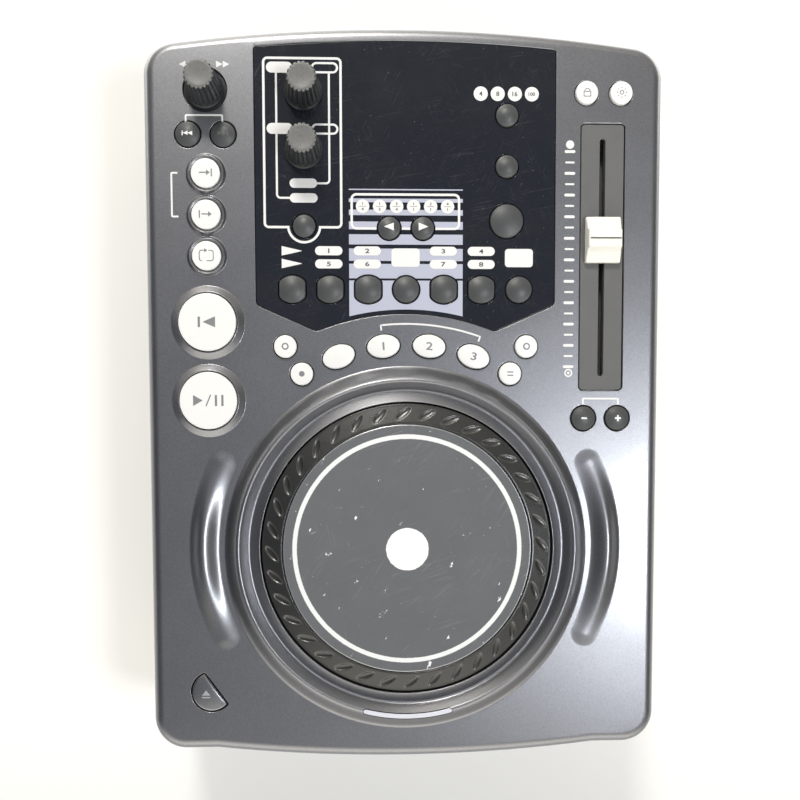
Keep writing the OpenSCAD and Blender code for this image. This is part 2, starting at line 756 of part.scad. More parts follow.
module lower_case() color("#3b3c40") {
    difference() {
        union() {
            difference() {
                prism(outline(0), floor_z, seam_z);
                prism(outline(wall), floor_top, seam_z + cut);
            }
            for (p = case_columns) rod(p, column_r, floor_z + eps, seam_z);
            for (p = drive_posts) rod(p, column_r, floor_z + eps, drive_z);
            for (p = concat(board_corners(main_board_x), board_corners(supply_x)))
                rod(p, board_post_r, floor_z + eps, floor_top + standoff_h);
        }
        for (p = case_columns) {
            rod(p, screw_pass_r, floor_z - cut, seam_z + cut);
            rod(p, screw_head_r + 0.3, floor_z - cut, floor_z + screw_head_h + 0.6);
        }
        for (p = drive_posts) rod(p, screw_hole_r, drive_z - 9, drive_z + cut);
        for (p = concat(board_corners(main_board_x), board_corners(supply_x)))
            rod(p, screw_hole_r, floor_z + 2, floor_top + standoff_h + cut);
        for (i = [0 : 9], s = [-1, 1])
            box([s * 60 - 36 + 8 * i - 1.5, s * 60 - 36 + 8 * i + 1.5],
                [floor_board_y[0] + 30, floor_board_y[0] + 70], [floor_z - cut, floor_top + cut]);
    }
}

function board_corners(xs) =
    [for (x = [xs[0] + 4, xs[1] - 4], y = [floor_board_y[0] + 4, floor_board_y[1] - 4]) [x, y]];

module display_lens() color("#14161f") {
    difference() {
        prism(lens_plan(lens_gap), lens_floor, lens_z);
        lens_holes();
    }
}

module display_module() color("#0c0d10") {
    box([-display_half - display_frame, display_half + display_frame],
        [display_rear - display_l - display_frame, display_rear + display_frame],
        [board_z, under_z - flange_gap]);
    box([-display_half, display_half], [display_rear - display_l, display_rear],
        [under_z - flange_gap - eps, lens_floor - flange_gap]);
}

// Board under the top panel, cut away round the jog well, and the small board under eject
module control_board() color("#2f5d3a") {
    difference() {
        union() {
            box([-board_half, board_half], [board_front, board_rear], [board_z - board_t, board_z]);
            translate([each (eject_at + eject_board_off - eject_board / 2), board_z - board_t])
                cube([each eject_board, board_t]);
        }
        rod([0, jog_y], board_cut_r, board_z - board_t - cut, board_z + cut);
        for (p = concat(board_posts, eject_posts))
            rod(p, screw_pass_r, board_z - board_t - cut, board_z + cut);
    }
}

module tact_switches() color("#1c1c1c") {
    for (s = switch_places) translate([s[0][0], s[0][1], board_z]) {
        translate([-switch_body / 2, -switch_body / 2, 0])
            cube([switch_body, switch_body, switch_body_h]);
        cylinder(r = switch_key_r, h = switch_h);
    }
}

module rotary_encoders() color("#8d8f92") {
    for (p = [search_at, time_at, ratio_at]) translate([p[0], p[1], board_z]) difference() {
        union() {
            translate([-encoder_body / 2, -encoder_body / 2, 0])
                cube([encoder_body, encoder_body, encoder_body_h]);
            cylinder(r = shaft_r + 0.8, h = encoder_h);
        }
        translate([0, 0, 1.5]) cylinder(r = shaft_r + run_gap, h = encoder_h);
    }
}

module fader_plate() color("#5d5e61") {
    r = 1.8 - fader_edge;
    translate([column_x, fader_y, panel_z - fader_floor])
        linear_extrude(fader_floor - fader_plate_drop) difference() {
            rounded_plan(fader_w - 2 * fader_edge, fader_l - 2 * fader_edge, r);
            rounded_plan(fader_slot_w, fader_slot_l, fader_slot_w / 2 - eps);
        }
}

// Slide potentiometer's channel, screwed up against the panel
module fader_track() color("#9a9c9f") {
    z0 = under_z - track_h;
    difference() {
        box([column_x - track_w / 2, column_x + track_w / 2],
            [fader_y - track_l / 2, fader_y + track_l / 2], [z0, under_z]);
        box([column_x - track_w / 2 + track_wall, column_x + track_w / 2 - track_wall],
            [fader_y - fader_slot_l / 2 - 3, fader_y + fader_slot_l / 2 + 3],
            [z0 + track_wall, under_z - track_wall]);
        box([column_x - 2, column_x + 2],
            [fader_y - fader_slot_l / 2 - 1, fader_y + fader_slot_l / 2 + 1],
            [under_z - track_wall - cut, under_z + cut]);
    }
}

module jog_bearing() color("#b9babd") {
    low = well_z - wall;
    rod([0, jog_y], bracket_r, low - bracket_h, low);
    rod([0, jog_y], post_r, low - eps, plate_z - plate_t - 1);
}

module lamp_window() color("#c9cede") {
    intersection() {
        lamp_slot(0, panel_z + 1.3, panel_z + rim_h);
        translate([0, jog_y, -lamp_gap]) rotate_extrude($fn = 128)
            polygon(concat([[jog_r + rim_crest - rim_slope_w, panel_z]], rim_inner(), rim_outer(),
                           [[jog_r + rim_foot, panel_z - 1]]));
    }
}

// Board on its floor posts, with parts as [x, y, width, depth, height] shares of its area
module floor_board(xs, parts) {
    z = floor_top + standoff_h;
    w = xs[1] - xs[0];
    l = floor_board_y[1] - floor_board_y[0];
    difference() {
        box(xs, floor_board_y, [z, z + board_t]);
        for (p = board_corners(xs)) rod(p, screw_pass_r, z - cut, z + board_t + cut);
    }
    for (p = parts)
        translate([xs[0] + p[0] * w, floor_board_y[0] + p[1] * l, z + board_t - eps])
            cube([p[2], p[3], p[4]]);
}

module main_board() color("#2d6a3f") {
    floor_board(main_board_x, [[0.12, 0.3, 22, 22, 2.2], [0.45, 0.35, 18, 18, 2], [0.7, 0.3, 12, 20, 2],
                               [0.12, 0.68, 14, 10, 3], [0.5, 0.7, 30, 8, 6], [0.3, 0.12, 24, 6, 6]]);
}

module power_supply() color("#7a6a3a") {
    floor_board(supply_x, [[0.12, 0.5, 30, 28, 26], [0.6, 0.55, 20, 22, 20], [0.15, 0.16, 34, 4, 24],
                           [0.68, 0.18, 12, 12, 22]]);
}

module phono_jack(x) {
    difference() {
        union() {
            box([x - 5.5, x + 5.5], [bay_y - wall - 12, bay_y - wall], [socket_z - 6, socket_z + 6]);
            rod_y_axis(x, bay_y - wall - eps, bay_y + phono_l, socket_z, phono_r);
        }
        rod_y_axis(x, bay_y - 6, bay_y + phono_l + cut, socket_z, 1.6);
    }
}

module mini_jack(x) {
    difference() {
        union() {
            box([x - 4, x + 4], [bay_y - wall - 12, bay_y - wall], [socket_z - 5, socket_z + 3]);
            rod_y_axis(x, bay_y - wall - eps, bay_y + 1.5, socket_z, 3);
        }
        rod_y_axis(x, bay_y - 10, bay_y + 3, socket_z, 1.75);
    }
}

// Two-pin mains inlet, with its pins standing in an open cavity
module mains_inlet() {
    difference() {
        union() {
            box([mains_x - 10.2, mains_x + 10.2], [bay_y - 14, bay_y + eps],
                [socket_z - 6.2, socket_z + 6.2]);
            box([mains_x - 14, mains_x + 14], [bay_y, bay_y + 2], [socket_z - 9, socket_z + 9]);
        }
        translate([mains_x, bay_y + 3, socket_z]) rotate([90, 0, 0])
            linear_extrude(14) rounded_plan(16, 8, 3.9);
    }
    for (s = [-1, 1]) rod_y_axis(mains_x + s * 4.3, bay_y - 11.5, bay_y, socket_z, 1.2);
}

module switch_housing() {
    difference() {
        union() {
            box([switch_x - 9.3, switch_x + 9.3], [bay_y - 13, bay_y + eps],
                [socket_z - 6.7, socket_z + 6.7]);
            box([switch_x - 11, switch_x + 11], [bay_y, bay_y + 2], [socket_z - 8.5, socket_z + 8.5]);
        }
        rod_x_axis(switch_x - rocker_w / 2 - 0.3, switch_x + rocker_w / 2 + 0.3,
                   rocker_y, socket_z, rocker_r + 0.3);
        box([switch_x - rocker_w / 2 - 0.3, switch_x + rocker_w / 2 + 0.3],
            [rocker_y, bay_y + 3], [socket_z - rocker_r - 0.3, socket_z + rocker_r + 0.3]);
        rod_x_axis(switch_x - rocker_w / 2 - 0.9, switch_x + rocker_w / 2 + 0.9,
                   rocker_y, socket_z, 1 + run_gap);
    }
}

module rear_jacks() color("#24252a") {
    for (x = phono_places) phono_jack(x);
    for (x = mini_places) mini_jack(x);
    mains_inlet();
    switch_housing();
}

module rubber_feet() color("#1b1b1c") {
    for (x = [-1, 1], y = [-1, 1])
        translate([x * (half_w - foot_side), y * (half_l - foot_end), 0]) rotate_extrude()
            polygon([[0, 0], [foot_r - 0.6, 0], [foot_r, 0.6], [foot_r, foot_h], [0, foot_h]]);
}

// Screws: case halves from below, control board from below, drive and floor boards from above
module case_screws() color("#c0c2c5") {
    for (p = case_columns) {
        rod(p, screw_head_r, floor_z + 0.6, floor_z + screw_head_h + 0.6);
        rod(p, screw_r, floor_z + screw_head_h, floor_z + case_screw_l);
    }
    for (p = concat(board_posts, eject_posts)) {
        rod(p, screw_head_r, board_z - board_t - screw_head_h, board_z - board_t);
        rod(p, screw_r, board_z - board_t - eps, board_z + board_screw_l - 1);
    }
    for (p = drive_posts) {
        rod(p, screw_head_r, drive_z + sheet, drive_z + sheet + screw_head_h);
        rod(p, screw_r, drive_z - 8, drive_z + sheet + eps);
    }
    for (p = concat(board_corners(main_board_x), board_corners(supply_x))) {
        z = floor_top + standoff_h + board_t;
        rod(p, screw_head_r, z, z + screw_head_h);
        rod(p, screw_r, floor_z + 2.5, z + eps);
    }
}

// Sheet metal tray and cover, deck, guide rods and spindle motor of the disc drive
module drive_chassis() color("#a9abad") {
    inner = drive_half - sheet;
    difference() {
        union() {
            box([-drive_half, drive_half], [drive_front, drive_rear], [drive_z, drive_z + sheet]);
            for (x = [-drive_half, inner])
                box([x, x + sheet], [drive_front, drive_rear], [drive_z, drive_top]);
            box([-drive_half, drive_half], [drive_rear - sheet, drive_rear], [drive_z, drive_top]);
        }
        for (p = drive_posts) rod(p, screw_pass_r, drive_z - cut, drive_z + sheet + cut);
        rod_x_axis(-drive_half - cut, drive_half + cut, roller_y, roller_z, roller_shaft + run_gap);
    }
    box([-drive_half, drive_half], [drive_front, drive_rear], [drive_top, drive_top + sheet]);
    difference() {
        union() {
            box([-46, 46], [spindle_y - 20, rod_rear + 4], [deck_z - sheet, deck_z]);
            for (x = [-42, 42], y = [spindle_y - 14, rod_rear - 2])
                rod([x, y], 3, drive_z + sheet - eps, deck_z - sheet + eps);
            rod([0, spindle_y], 12, drive_z + sheet, deck_z - sheet + eps);
            for (x = [-rod_x, rod_x], y = [rod_front, rod_rear - rod_block])
                box([x - 3, x + 3], [y, y + rod_block], [deck_z - eps, rod_z + 3]);
        }
        rod([0, spindle_y], 1 + run_gap, drive_z + sheet + 1, deck_z + cut);
    }
    for (x = [-rod_x, rod_x])
        rod_y_axis(x, rod_front + rod_block - eps, rod_rear - rod_block + eps, rod_z, rod_r);
}

module feed_roller() color("#2b2b2c") {
    rod_x_axis(-slot_half, slot_half, roller_y, roller_z, roller_r);
    rod_x_axis(-drive_half - 1, drive_half + 1, roller_y, roller_z, roller_shaft);
}

module laser_sled() color("#33353a") {
    difference() {
        box([-sled_half, sled_half], [sled_y - sled_l / 2, sled_y + sled_l / 2],
            [deck_z + 0.6, deck_z + 7.4]);
        for (x = [-rod_x, rod_x])
            rod_y_axis(x, sled_y - sled_l, sled_y + sled_l, rod_z, rod_r + run_gap);
    }
    rod([0, sled_y], 3.2, deck_z + 7.4 - eps, deck_z + 7.9);
}

// Spindle hub, lowered so that a disc can pass over it
module disc_turntable() color("#55575c") {
    translate([0, spindle_y, 0]) rotate_extrude()
        polygon([[0, drive_z + sheet + 1.5], [1, drive_z + sheet + 1.5], [1, deck_z + 1.2],
                 [hub_r, deck_z + 1.2], [hub_r, deck_z + 3.4], [7.4, deck_z + 3.4],
                 [6.6, deck_z + 7.2], [0, deck_z + 7.2]]);
}

// Rocker, tipped to its off side
module power_switch() color("#17181b") {
    translate([switch_x - rocker_w / 2, rocker_y, socket_z]) rotate([90, 0, 90])
        linear_extrude(rocker_w) rotate(-rocker_tilt) intersection() {
            circle(r = rocker_r);
            polygon([[-6, -6], [5, -6], [3.6, 0], [5, 6], [-6, 6]]);
        }
    rod_x_axis(switch_x - rocker_w / 2 - 0.6, switch_x + rocker_w / 2 + 0.6, rocker_y, socket_z, 1);
}

// Finger ring with web, hub and the skirt that the sensor reads
module jog_ring() color("#3a3a38") {
    low = well_z + wheel_gap;
    web_z = plate_z - plate_t;
    translate([0, jog_y, 0]) rotate_extrude($fn = 128)
        polygon([[post_r + run_gap, low], [post_r + 4, low], [post_r + 4, web_z - web_t],
                 [skirt_r, web_z - web_t], [skirt_r, low + 1], [skirt_r + 1.2, low + 1],
                 [skirt_r + 1.2, web_z - web_t], [jog_r - 2, web_z - web_t - 2.4], [jog_r - 2, low],
                 [jog_r, low], [jog_r, panel_z + ring_rise - 0.5],
                 [jog_r - 0.5, panel_z + ring_rise], [plate_r + 0.7, plate_z - 0.1],
                 [plate_r + 0.2, plate_z - 0.1], [plate_r + 0.2, web_z], [post_r + run_gap, web_z]]);
}

module jog_plate() color("#6c6e71") {
    translate([0, jog_y, 0]) rotate_extrude($fn = 128)
        polygon([[0, plate_z - plate_t], [plate_r, plate_z - plate_t], [plate_r, plate_z - 0.3],
                 [plate_r - 0.3, plate_z], [0, plate_z]]);
}

// Cap with a raised ridge, its lever and the carriage inside the track
module fader_cap() color("#f4f4ea") {
    w = fader_cap_w / 2;
    l = fader_cap_l / 2;
    base = panel_z + cap_clear;
    end_z = panel_z + cap_end_h;
    ridge_z = panel_z + fader_cap_h;
    side = cap_ridge / 2;
    translate([column_x - w, fader_rest_y, 0]) rotate([90, 0, 90]) linear_extrude(2 * w)
        polygon([[-l, base], [l, base], [l, end_z], [side + 0.6, ridge_z - 1.6], [side, ridge_z],
                 [-side, ridge_z], [-side - 0.6, ridge_z - 1.6], [-l, end_z]]);
    box([column_x - lever_w / 2, column_x + lever_w / 2],
        [fader_rest_y - lever_l / 2, fader_rest_y + lever_l / 2],
        [under_z - track_h / 2, base + eps]);
    box([column_x - track_w / 2 + track_wall + 0.3, column_x + track_w / 2 - track_wall - 0.3],
        [fader_rest_y - 4, fader_rest_y + 4],
        [under_z - track_h + track_wall + 0.3, under_z - track_wall - 0.3]);
}

// Fluted control knob with its shaft
module knob(at, foot_z) {
    top = panel_z + knob_h;
    translate([at[0], at[1], 0]) rotate_extrude()
        polygon([[0, board_z + 2.5], [shaft_r, board_z + 2.5], [shaft_r, foot_z], [knob_r, foot_z],
                 [knob_r, foot_z + 1.4], [knob_r - 0.5, foot_z + 2], [knob_top_r + 0.3, top - 0.8],
                 [knob_top_r - 0.5, top], [0, top]]);
}

module search_knob() color("#2c2c2e") knob(search_at, panel_z - knob_recess_d + knob_lift);
module time_knob() color("#2c2c2e") knob(time_at, lens_z + knob_lift);
module ratio_knob() color("#2c2c2e") knob(ratio_at, lens_z + knob_lift);

dark = "#3a3d3e";
pearl = "#e9e9e0";
module track_back_button() color(dark) round_button(track_back);
module track_next_button() color(dark) round_button(track_next);
module loop_in_button() color(pearl) round_button(loop_start);
module loop_out_button() color(pearl) round_button(loop_end);
module reloop_button() color(pearl) round_button(reloop);
module cue_button() color(pearl) round_button(cue);
module play_button() color(pearl) round_button(play);
module folder_button() color(dark) round_button(folder);
module select_down_button() color(dark) round_button(select_down);
module select_up_button() color(dark) round_button(select_up);
module pitch_range_button() color(dark) round_button(pitch_range);
module time_button() color(dark) round_button(time_mode);
module tap_button() color(dark) round_button(tap);
module sampler_button() color(pearl) round_button(sampler);
module memory_button() color(pearl) round_button(memory);
module effect_button_outer() color(pearl) round_button(effect_outer);
module effect_button_inner() color(pearl) round_button(effect_inner);
module tempo_lock_button() color(pearl) round_button(tempo_lock);
module pitch_switch_button() color(pearl) round_button(pitch_switch);
module pitch_down_button() color(dark) round_button(pitch_down);
module pitch_up_button() color(dark) round_button(pitch_up);

module fx_button(i) color(dark) {
    plan_button(fx_at(i), 0, small_rise, small_travel) {
        fx_plan(i, 0);
        fx_plan(i, button_gap + flange_over);
        fx_plan(i, -cap_bevel);
    }
}

module bank_button(k) color(pearl) {
    turn = bank_turns[k] * bank_step;
    plan_button(round_jog(bank_r, turn), -turn, small_rise, small_travel) {
        oval_plan(0);
        oval_plan(button_gap + flange_over);
        oval_plan(-cap_bevel);
    }
}

module eject_button() color(dark) {
    plan_button(eject_at, 0, small_rise / 2, small_travel, eject_stem) {
        eject_plan(0);
        eject_plan(button_gap + flange_over);
        eject_plan(-cap_bevel);
    }
}

upper_case();
lower_case();
display_lens();
display_module();
control_board();
tact_switches();
rotary_encoders();
fader_plate();
fader_track();
jog_bearing();
lamp_window();
main_board();
power_supply();
rear_jacks();
rubber_feet();
case_screws();
drive_chassis();
feed_roller();
laser_sled();
disc_turntable();
power_switch();
jog_ring();
jog_plate();
fader_cap();
search_knob();
time_knob();
ratio_knob();
track_back_button();
track_next_button();
loop_in_button();
loop_out_button();
reloop_button();
cue_button();
play_button();
folder_button();
select_down_button();
select_up_button();
pitch_range_button();
time_button();
tap_button();
fx_button(0);  // fx_button_1
fx_button(1);  // fx_button_2
fx_button(2);  // fx_button_3
fx_button(3);  // fx_button_4
fx_button(4);  // fx_button_5
fx_button(5);  // fx_button_6
fx_button(6);  // fx_button_7
sampler_button();
memory_button();
bank_button(0);  // bank_select_button
bank_button(1);  // bank_button_1
bank_button(2);  // bank_button_2
bank_button(3);  // bank_button_3
effect_button_outer();
effect_button_inner();
tempo_lock_button();
pitch_switch_button();
pitch_down_button();
pitch_up_button();
eject_button();
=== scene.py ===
import json
import math
from types import SimpleNamespace

import bmesh
import bpy
import numpy as np
from mathutils.geometry import delaunay_2d_cdt
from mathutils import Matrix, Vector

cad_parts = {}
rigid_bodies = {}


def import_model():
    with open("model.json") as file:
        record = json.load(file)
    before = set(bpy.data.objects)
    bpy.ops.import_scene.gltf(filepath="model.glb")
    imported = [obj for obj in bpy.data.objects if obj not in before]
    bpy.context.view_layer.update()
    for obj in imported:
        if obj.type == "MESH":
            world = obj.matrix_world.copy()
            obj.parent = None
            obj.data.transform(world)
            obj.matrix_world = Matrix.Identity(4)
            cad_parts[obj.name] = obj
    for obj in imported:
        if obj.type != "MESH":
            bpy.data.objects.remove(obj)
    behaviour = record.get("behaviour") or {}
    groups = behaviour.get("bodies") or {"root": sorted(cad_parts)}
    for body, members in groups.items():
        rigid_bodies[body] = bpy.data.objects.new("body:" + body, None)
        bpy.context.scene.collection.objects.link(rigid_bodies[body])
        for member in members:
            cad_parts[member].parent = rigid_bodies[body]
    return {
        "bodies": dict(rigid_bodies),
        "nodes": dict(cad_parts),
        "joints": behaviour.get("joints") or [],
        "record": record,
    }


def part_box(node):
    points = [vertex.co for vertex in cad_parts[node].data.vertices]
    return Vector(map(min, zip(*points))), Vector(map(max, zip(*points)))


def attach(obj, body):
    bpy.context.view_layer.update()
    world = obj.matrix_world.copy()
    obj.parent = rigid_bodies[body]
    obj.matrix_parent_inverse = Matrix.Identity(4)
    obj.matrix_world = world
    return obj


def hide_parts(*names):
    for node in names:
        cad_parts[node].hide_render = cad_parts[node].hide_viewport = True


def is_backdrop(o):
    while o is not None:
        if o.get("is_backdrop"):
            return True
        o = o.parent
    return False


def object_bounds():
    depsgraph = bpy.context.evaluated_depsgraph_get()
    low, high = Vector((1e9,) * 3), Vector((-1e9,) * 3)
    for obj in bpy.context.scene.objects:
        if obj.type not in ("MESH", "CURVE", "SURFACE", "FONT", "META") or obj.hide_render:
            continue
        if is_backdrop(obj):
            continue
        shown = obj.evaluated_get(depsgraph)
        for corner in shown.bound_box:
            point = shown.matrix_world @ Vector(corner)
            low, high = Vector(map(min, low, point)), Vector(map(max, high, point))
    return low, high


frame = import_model()
CAD_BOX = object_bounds()

bl_info = {
    "name": "Tabletop Disc Player",
    "version": (1, 0, 0),
    "blender": (4, 5, 0),
    "location": "View3D > Sidebar > Disc Player",
    "description": "Finished shells, controls and prints of a tabletop disc player",
    "category": "Object",
}

MM = 0.001
WELD = 2e-6
INK_RISE = 0.02     # height of ink above its face, in millimetres
SEAM_EDGE = 0.45    # height of the rounded edge at the case's seam, in millimetres

# Buttons by look. Each name is both the node and the body that it rides on.
PEARL_ROUND = ["loop_in_button", "loop_out_button", "reloop_button", "cue_button", "play_button",
               "sampler_button", "memory_button", "effect_button_outer", "effect_button_inner",
               "tempo_lock_button", "pitch_switch_button"]
DARK_ROUND = ["track_back_button", "track_next_button", "pitch_down_button", "pitch_up_button"]
LENS_ROUND = ["folder_button", "select_down_button", "select_up_button", "pitch_range_button",
              "time_button", "tap_button", "fx_button_4", "fx_button_7"]
BARREL = ["fx_button_1", "fx_button_2", "fx_button_3", "fx_button_5", "fx_button_6"]
BANK = ["bank_select_button", "bank_button_1", "bank_button_2", "bank_button_3"]
EJECT = "eject_button"
COLLARED = {"cue_button": "big", "play_button": "big", "loop_in_button": "loop",
            "loop_out_button": "loop", "reloop_button": "loop"}
KNOBS = ["search_knob", "time_knob", "ratio_knob"]


# ---------------------------------------------------------------- sizes and colours

def length(name, text, value):
    """A length given in millimetres."""
    return bpy.props.FloatProperty(name=name, description=text, default=value * MM, unit="LENGTH",
                                   precision=5)


def colour(name, text, red, green, blue):
    return bpy.props.FloatVectorProperty(name=name, description=text, default=(red, green, blue),
                                         size=3, min=0, max=1, subtype="COLOR")


class CaseSizes(bpy.types.PropertyGroup):
    panel_z: length("Panel height", "Height of the top panel above the table", 86)
    bow_r: length("Bow radius", "Radius of the bowed front and rear ends", 712)
    corner_r: length("Corner radius", "Radius of the corners seen from above", 14)
    edge_r: length("Edge radius", "Rounding between the sides and the top panel", 5)
    shoulder_in: length("Shoulder", "Depth of the flat shoulders beside the front bow", 4.8)
    hole_lip: length("Hole rounding", "Rounding along the edge of every hole", 0.35)
    hole_depth: length("Hole depth", "Depth of the walls inside the holes", 3)
    seam_z: length("Seam height", "Height of the seam between the halves above the table", 18)
    seam_lip: length("Seam rounding", "Rounding along the seam between the halves", 0.35)
    base_r: length("Base rounding", "Rounding along the underside", 1.2)
    bay_half: length("Bay half width", "Half width of the socket bay", 80)
    bay_y: length("Bay wall", "Distance of the bay's wall from the middle", 146)
    bay_low: length("Bay foot", "Height of the bay's foot above the table", 22)
    bay_high: length("Bay top", "Height of the bay's top above the table", 60)
    slot_half: length("Slot half width", "Half width of the disc slot", 63)
    slot_z: length("Slot height", "Height of the disc slot above the table", 44)
    slot_open: length("Slot opening", "Height of the slot's opening", 5.2)


class ControlSizes(bpy.types.PropertyGroup):
    gap: length("Button gap", "Gap between a cap and its hole", 0.4)
    flange: length("Flange", "How far a button's flange reaches past its cap", 1.4)
    bevel: length("Cap rounding", "Rounding along the top edge of a cap", 0.55)
    crown: length("Pearl crown", "Crown of the pearl caps", 0.25)
    dome: length("Rubber dome", "Crown of the dark rubber caps", 1.05)
    cap_foot: length("Cap foot", "Height of the lower end of the caps", 81.7)
    oval_a: length("Oval half length", "Half length of the bank caps", 7.0)
    oval_b: length("Oval half width", "Half width of the bank caps", 4.9)
    barrel_half: length("Barrel half width", "Half width of the effect caps", 5.6)
    barrel_deep: length("Barrel half depth", "Half depth of the effect caps", 5.8)
    barrel_r: length("Barrel end radius", "Radius of the effect caps' curved ends", 7.4)
    eject_r: length("Eject radius", "Radius of the eject cap's round side", 8.6)
    eject_chord: length("Eject chord", "Distance of the eject cap's straight side", 2.2)
    big_collar_r: length("Big collar", "Foot radius of the collars round cue and play", 15.7)
    big_collar_h: length("Big collar height", "Height of those collars", 1.8)
    loop_collar_r: length("Loop collar", "Foot radius of the collars round the loop caps", 8.4)
    loop_collar_h: length("Loop collar height", "Height of those collars", 1.5)
    knob_r: length("Knob foot", "Radius of a knob at its foot", 8.0)
    knob_top_r: length("Knob top", "Radius of a knob at its top", 5.9)
    flute: length("Flute depth", "Depth of the flutes in a knob", 0.6)
    recess_r: length("Knob recess", "Radius of the recess round the search knob", 9.1)
    recess_d: length("Recess depth", "Depth of that recess", 1.4)


class JogSizes(bpy.types.PropertyGroup):
    centre_y: length("Jog centre", "Place of the jog wheel along the case", -63.7)
    ring_r: length("Ring radius", "Outer radius of the finger ring", 62.1)
    plate_r: length("Plate radius", "Radius of the touch plate", 53.2)
    plate_z: length("Plate height", "Height of the touch plate above the table", 92)
    ring_z: length("Ring edge", "Height of the ring's outer edge above the table", 89.9)
    dimple_r: length("Dimple circle", "Radius of the circle of finger dimples", 57.8)
    dimple_l: length("Dimple length", "Length of a finger dimple", 7.8)
    dimple_w: length("Dimple width", "Width of a finger dimple", 2.8)
    dimple_d: length("Dimple depth", "Depth of a finger dimple", 0.6)
    crest_r: length("Rim crest", "Radius of the rim's crest", 71.8)
    crest_h: length("Rim height", "Height of the crest above the panel", 6.8)
    step_h: length("Rim step", "Height of the crest above the valley inside it", 5.1)
    wall_w: length("Rim wall", "Width of the rim's outer wall behind and beside the wheel", 6.6)
    front_w: length("Front spread", "How much wider that wall is in front", 1.4)
    lip_z: length("Lip height", "Height of the well's lip above the table", 91.1)
    valley_r: length("Valley radius", "Radius of the valley between ledge and crest", 67.6)
    rib_r: length("Rib radius", "Radius of the finger ribs' middle line", 86.9)
    rib_half: length("Rib half width", "Half width of a finger rib", 6.7)
    rib_crest: length("Rib crest", "Radius of a finger rib's crest line", 87.3)
    rib_h: length("Rib height", "Height of a finger rib", 3.2)


class DisplaySizes(bpy.types.PropertyGroup):
    top_z: length("Panel face", "Height of the display panel's face", 85.8)
    floor_z: length("Panel back", "Height of the display panel's back", 84.6)
    half: length("Half width", "Half width of the display panel", 63.7)
    rear_in: length("Rear margin", "Distance of its rear edge from the rear bow", 6.8)
    side_y: length("Side foot", "Place where its straight sides end", 40.2)
    arc_r: length("Front arc", "Radius of the hollow arc along its front", 100.2)
    arc_half: length("Arc half width", "Half width of that arc", 38.1)
    gap: length("Panel gap", "Gap round the panel in its recess", 0.15)


class Finishes(bpy.types.PropertyGroup):
    paint: colour("Case paint", "Metallic lacquer of the case", 0.235, 0.238, 0.254)
    base: colour("Base plastic", "Textured plastic of the lower case", 0.030, 0.031, 0.034)
    lens: colour("Display panel", "Back print of the glossy panel", 0.0105, 0.0125, 0.0190)
    lavender: colour("Lavender ink", "Broad stripes on the display panel", 0.46, 0.48, 0.59)
    white: colour("White ink", "Marks and frames", 0.80, 0.80, 0.80)
    grey: colour("Grey ink", "Marks on the pearl caps", 0.22, 0.22, 0.235)
    pearl: colour("Pearl caps", "Pearl white caps", 0.80, 0.805, 0.81)
    rubber: colour("Rubber caps", "Dark grey rubber caps", 0.056, 0.059, 0.062)
    knob: colour("Knobs", "Soft black of the knobs", 0.018, 0.020, 0.023)
    ring: colour("Finger ring", "Rubber of the jog wheel's ring", 0.013, 0.013, 0.012)
    plate: colour("Touch plate", "Film on the touch plate", 0.122, 0.127, 0.137)
    fader: colour("Fader plate", "Satin plate of the pitch fader", 0.126, 0.127, 0.128)
    ivory: colour("Fader cap", "Ivory cap of the pitch fader", 0.86, 0.86, 0.80)
    lamp: colour("Lamp window", "Milky window in the rim", 0.60, 0.61, 0.69)
    board: colour("Circuit board", "Solder resist", 0.010, 0.085, 0.030)
    steel: colour("Sheet steel", "Zinc plated parts", 0.52, 0.53, 0.54)


class StageSettings(bpy.types.PropertyGroup):
    lens_mm: bpy.props.FloatProperty(name="Focal length", description="Camera focal length",
                                     default=40.5, unit="CAMERA")
    shift: bpy.props.FloatVectorProperty(name="Shift", description="Camera shift", size=2,
                                         default=(0.025, 0.10))
    eye: bpy.props.FloatVectorProperty(name="Eye", description="Place of the camera", size=3,
                                       default=(-0.026274, -0.011429, 0.47273), subtype="XYZ",
                                       unit="LENGTH", precision=5)
    tilt: bpy.props.FloatVectorProperty(name="Tilt", description="Turn of the camera", size=3,
                                        default=(math.radians(-3.38938), math.radians(-2.21483),
                                                 math.radians(-0.18694)), subtype="EULER")
    key: bpy.props.FloatProperty(name="Key lamp", description="Power of the right lamp",
                                 default=6.9, unit="POWER")
    window: bpy.props.FloatProperty(name="Rear lamp", description="Power of the rear lamp",
                                    default=13.0, unit="POWER")


class PlayerSettings(bpy.types.PropertyGroup):
    case: bpy.props.PointerProperty(type=CaseSizes)
    controls: bpy.props.PointerProperty(type=ControlSizes)
    jog: bpy.props.PointerProperty(type=JogSizes)
    display: bpy.props.PointerProperty(type=DisplaySizes)
    finishes: bpy.props.PointerProperty(type=Finishes)
    stage: bpy.props.PointerProperty(type=StageSettings)


def settings():
    return bpy.context.scene.disc_player


def sizes(name):
    """The lengths of a group as plain numbers in millimetres."""
    group = getattr(settings(), name)
    return SimpleNamespace(**{key: getattr(group, key) / MM for key in group.__annotations__})


def box_mm(node):
    """Lowest and highest corner of a node in millimetres."""
    return [np.array(corner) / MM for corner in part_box(node)]


def centre_of(node):
    """Middle of a node seen from above, in millimetres."""
    low, high = box_mm(node)
    return ((low + high) / 2)[:2]


def jog_centre():
    return np.array([0, sizes("jog").centre_y])


# ---------------------------------------------------------------- plane curves

def arc(centre, radius, start, stop, count=24):
    """Points at equal angles along a circle, from start to stop in degrees."""
    angle = np.radians(np.linspace(start, stop, count + 1))
    return np.asarray(centre) + radius * np.stack([np.cos(angle), np.sin(angle)], 1)


def circle(centre, radius, count=96):
    return arc(centre, radius, 0, 360, count)[:-1]


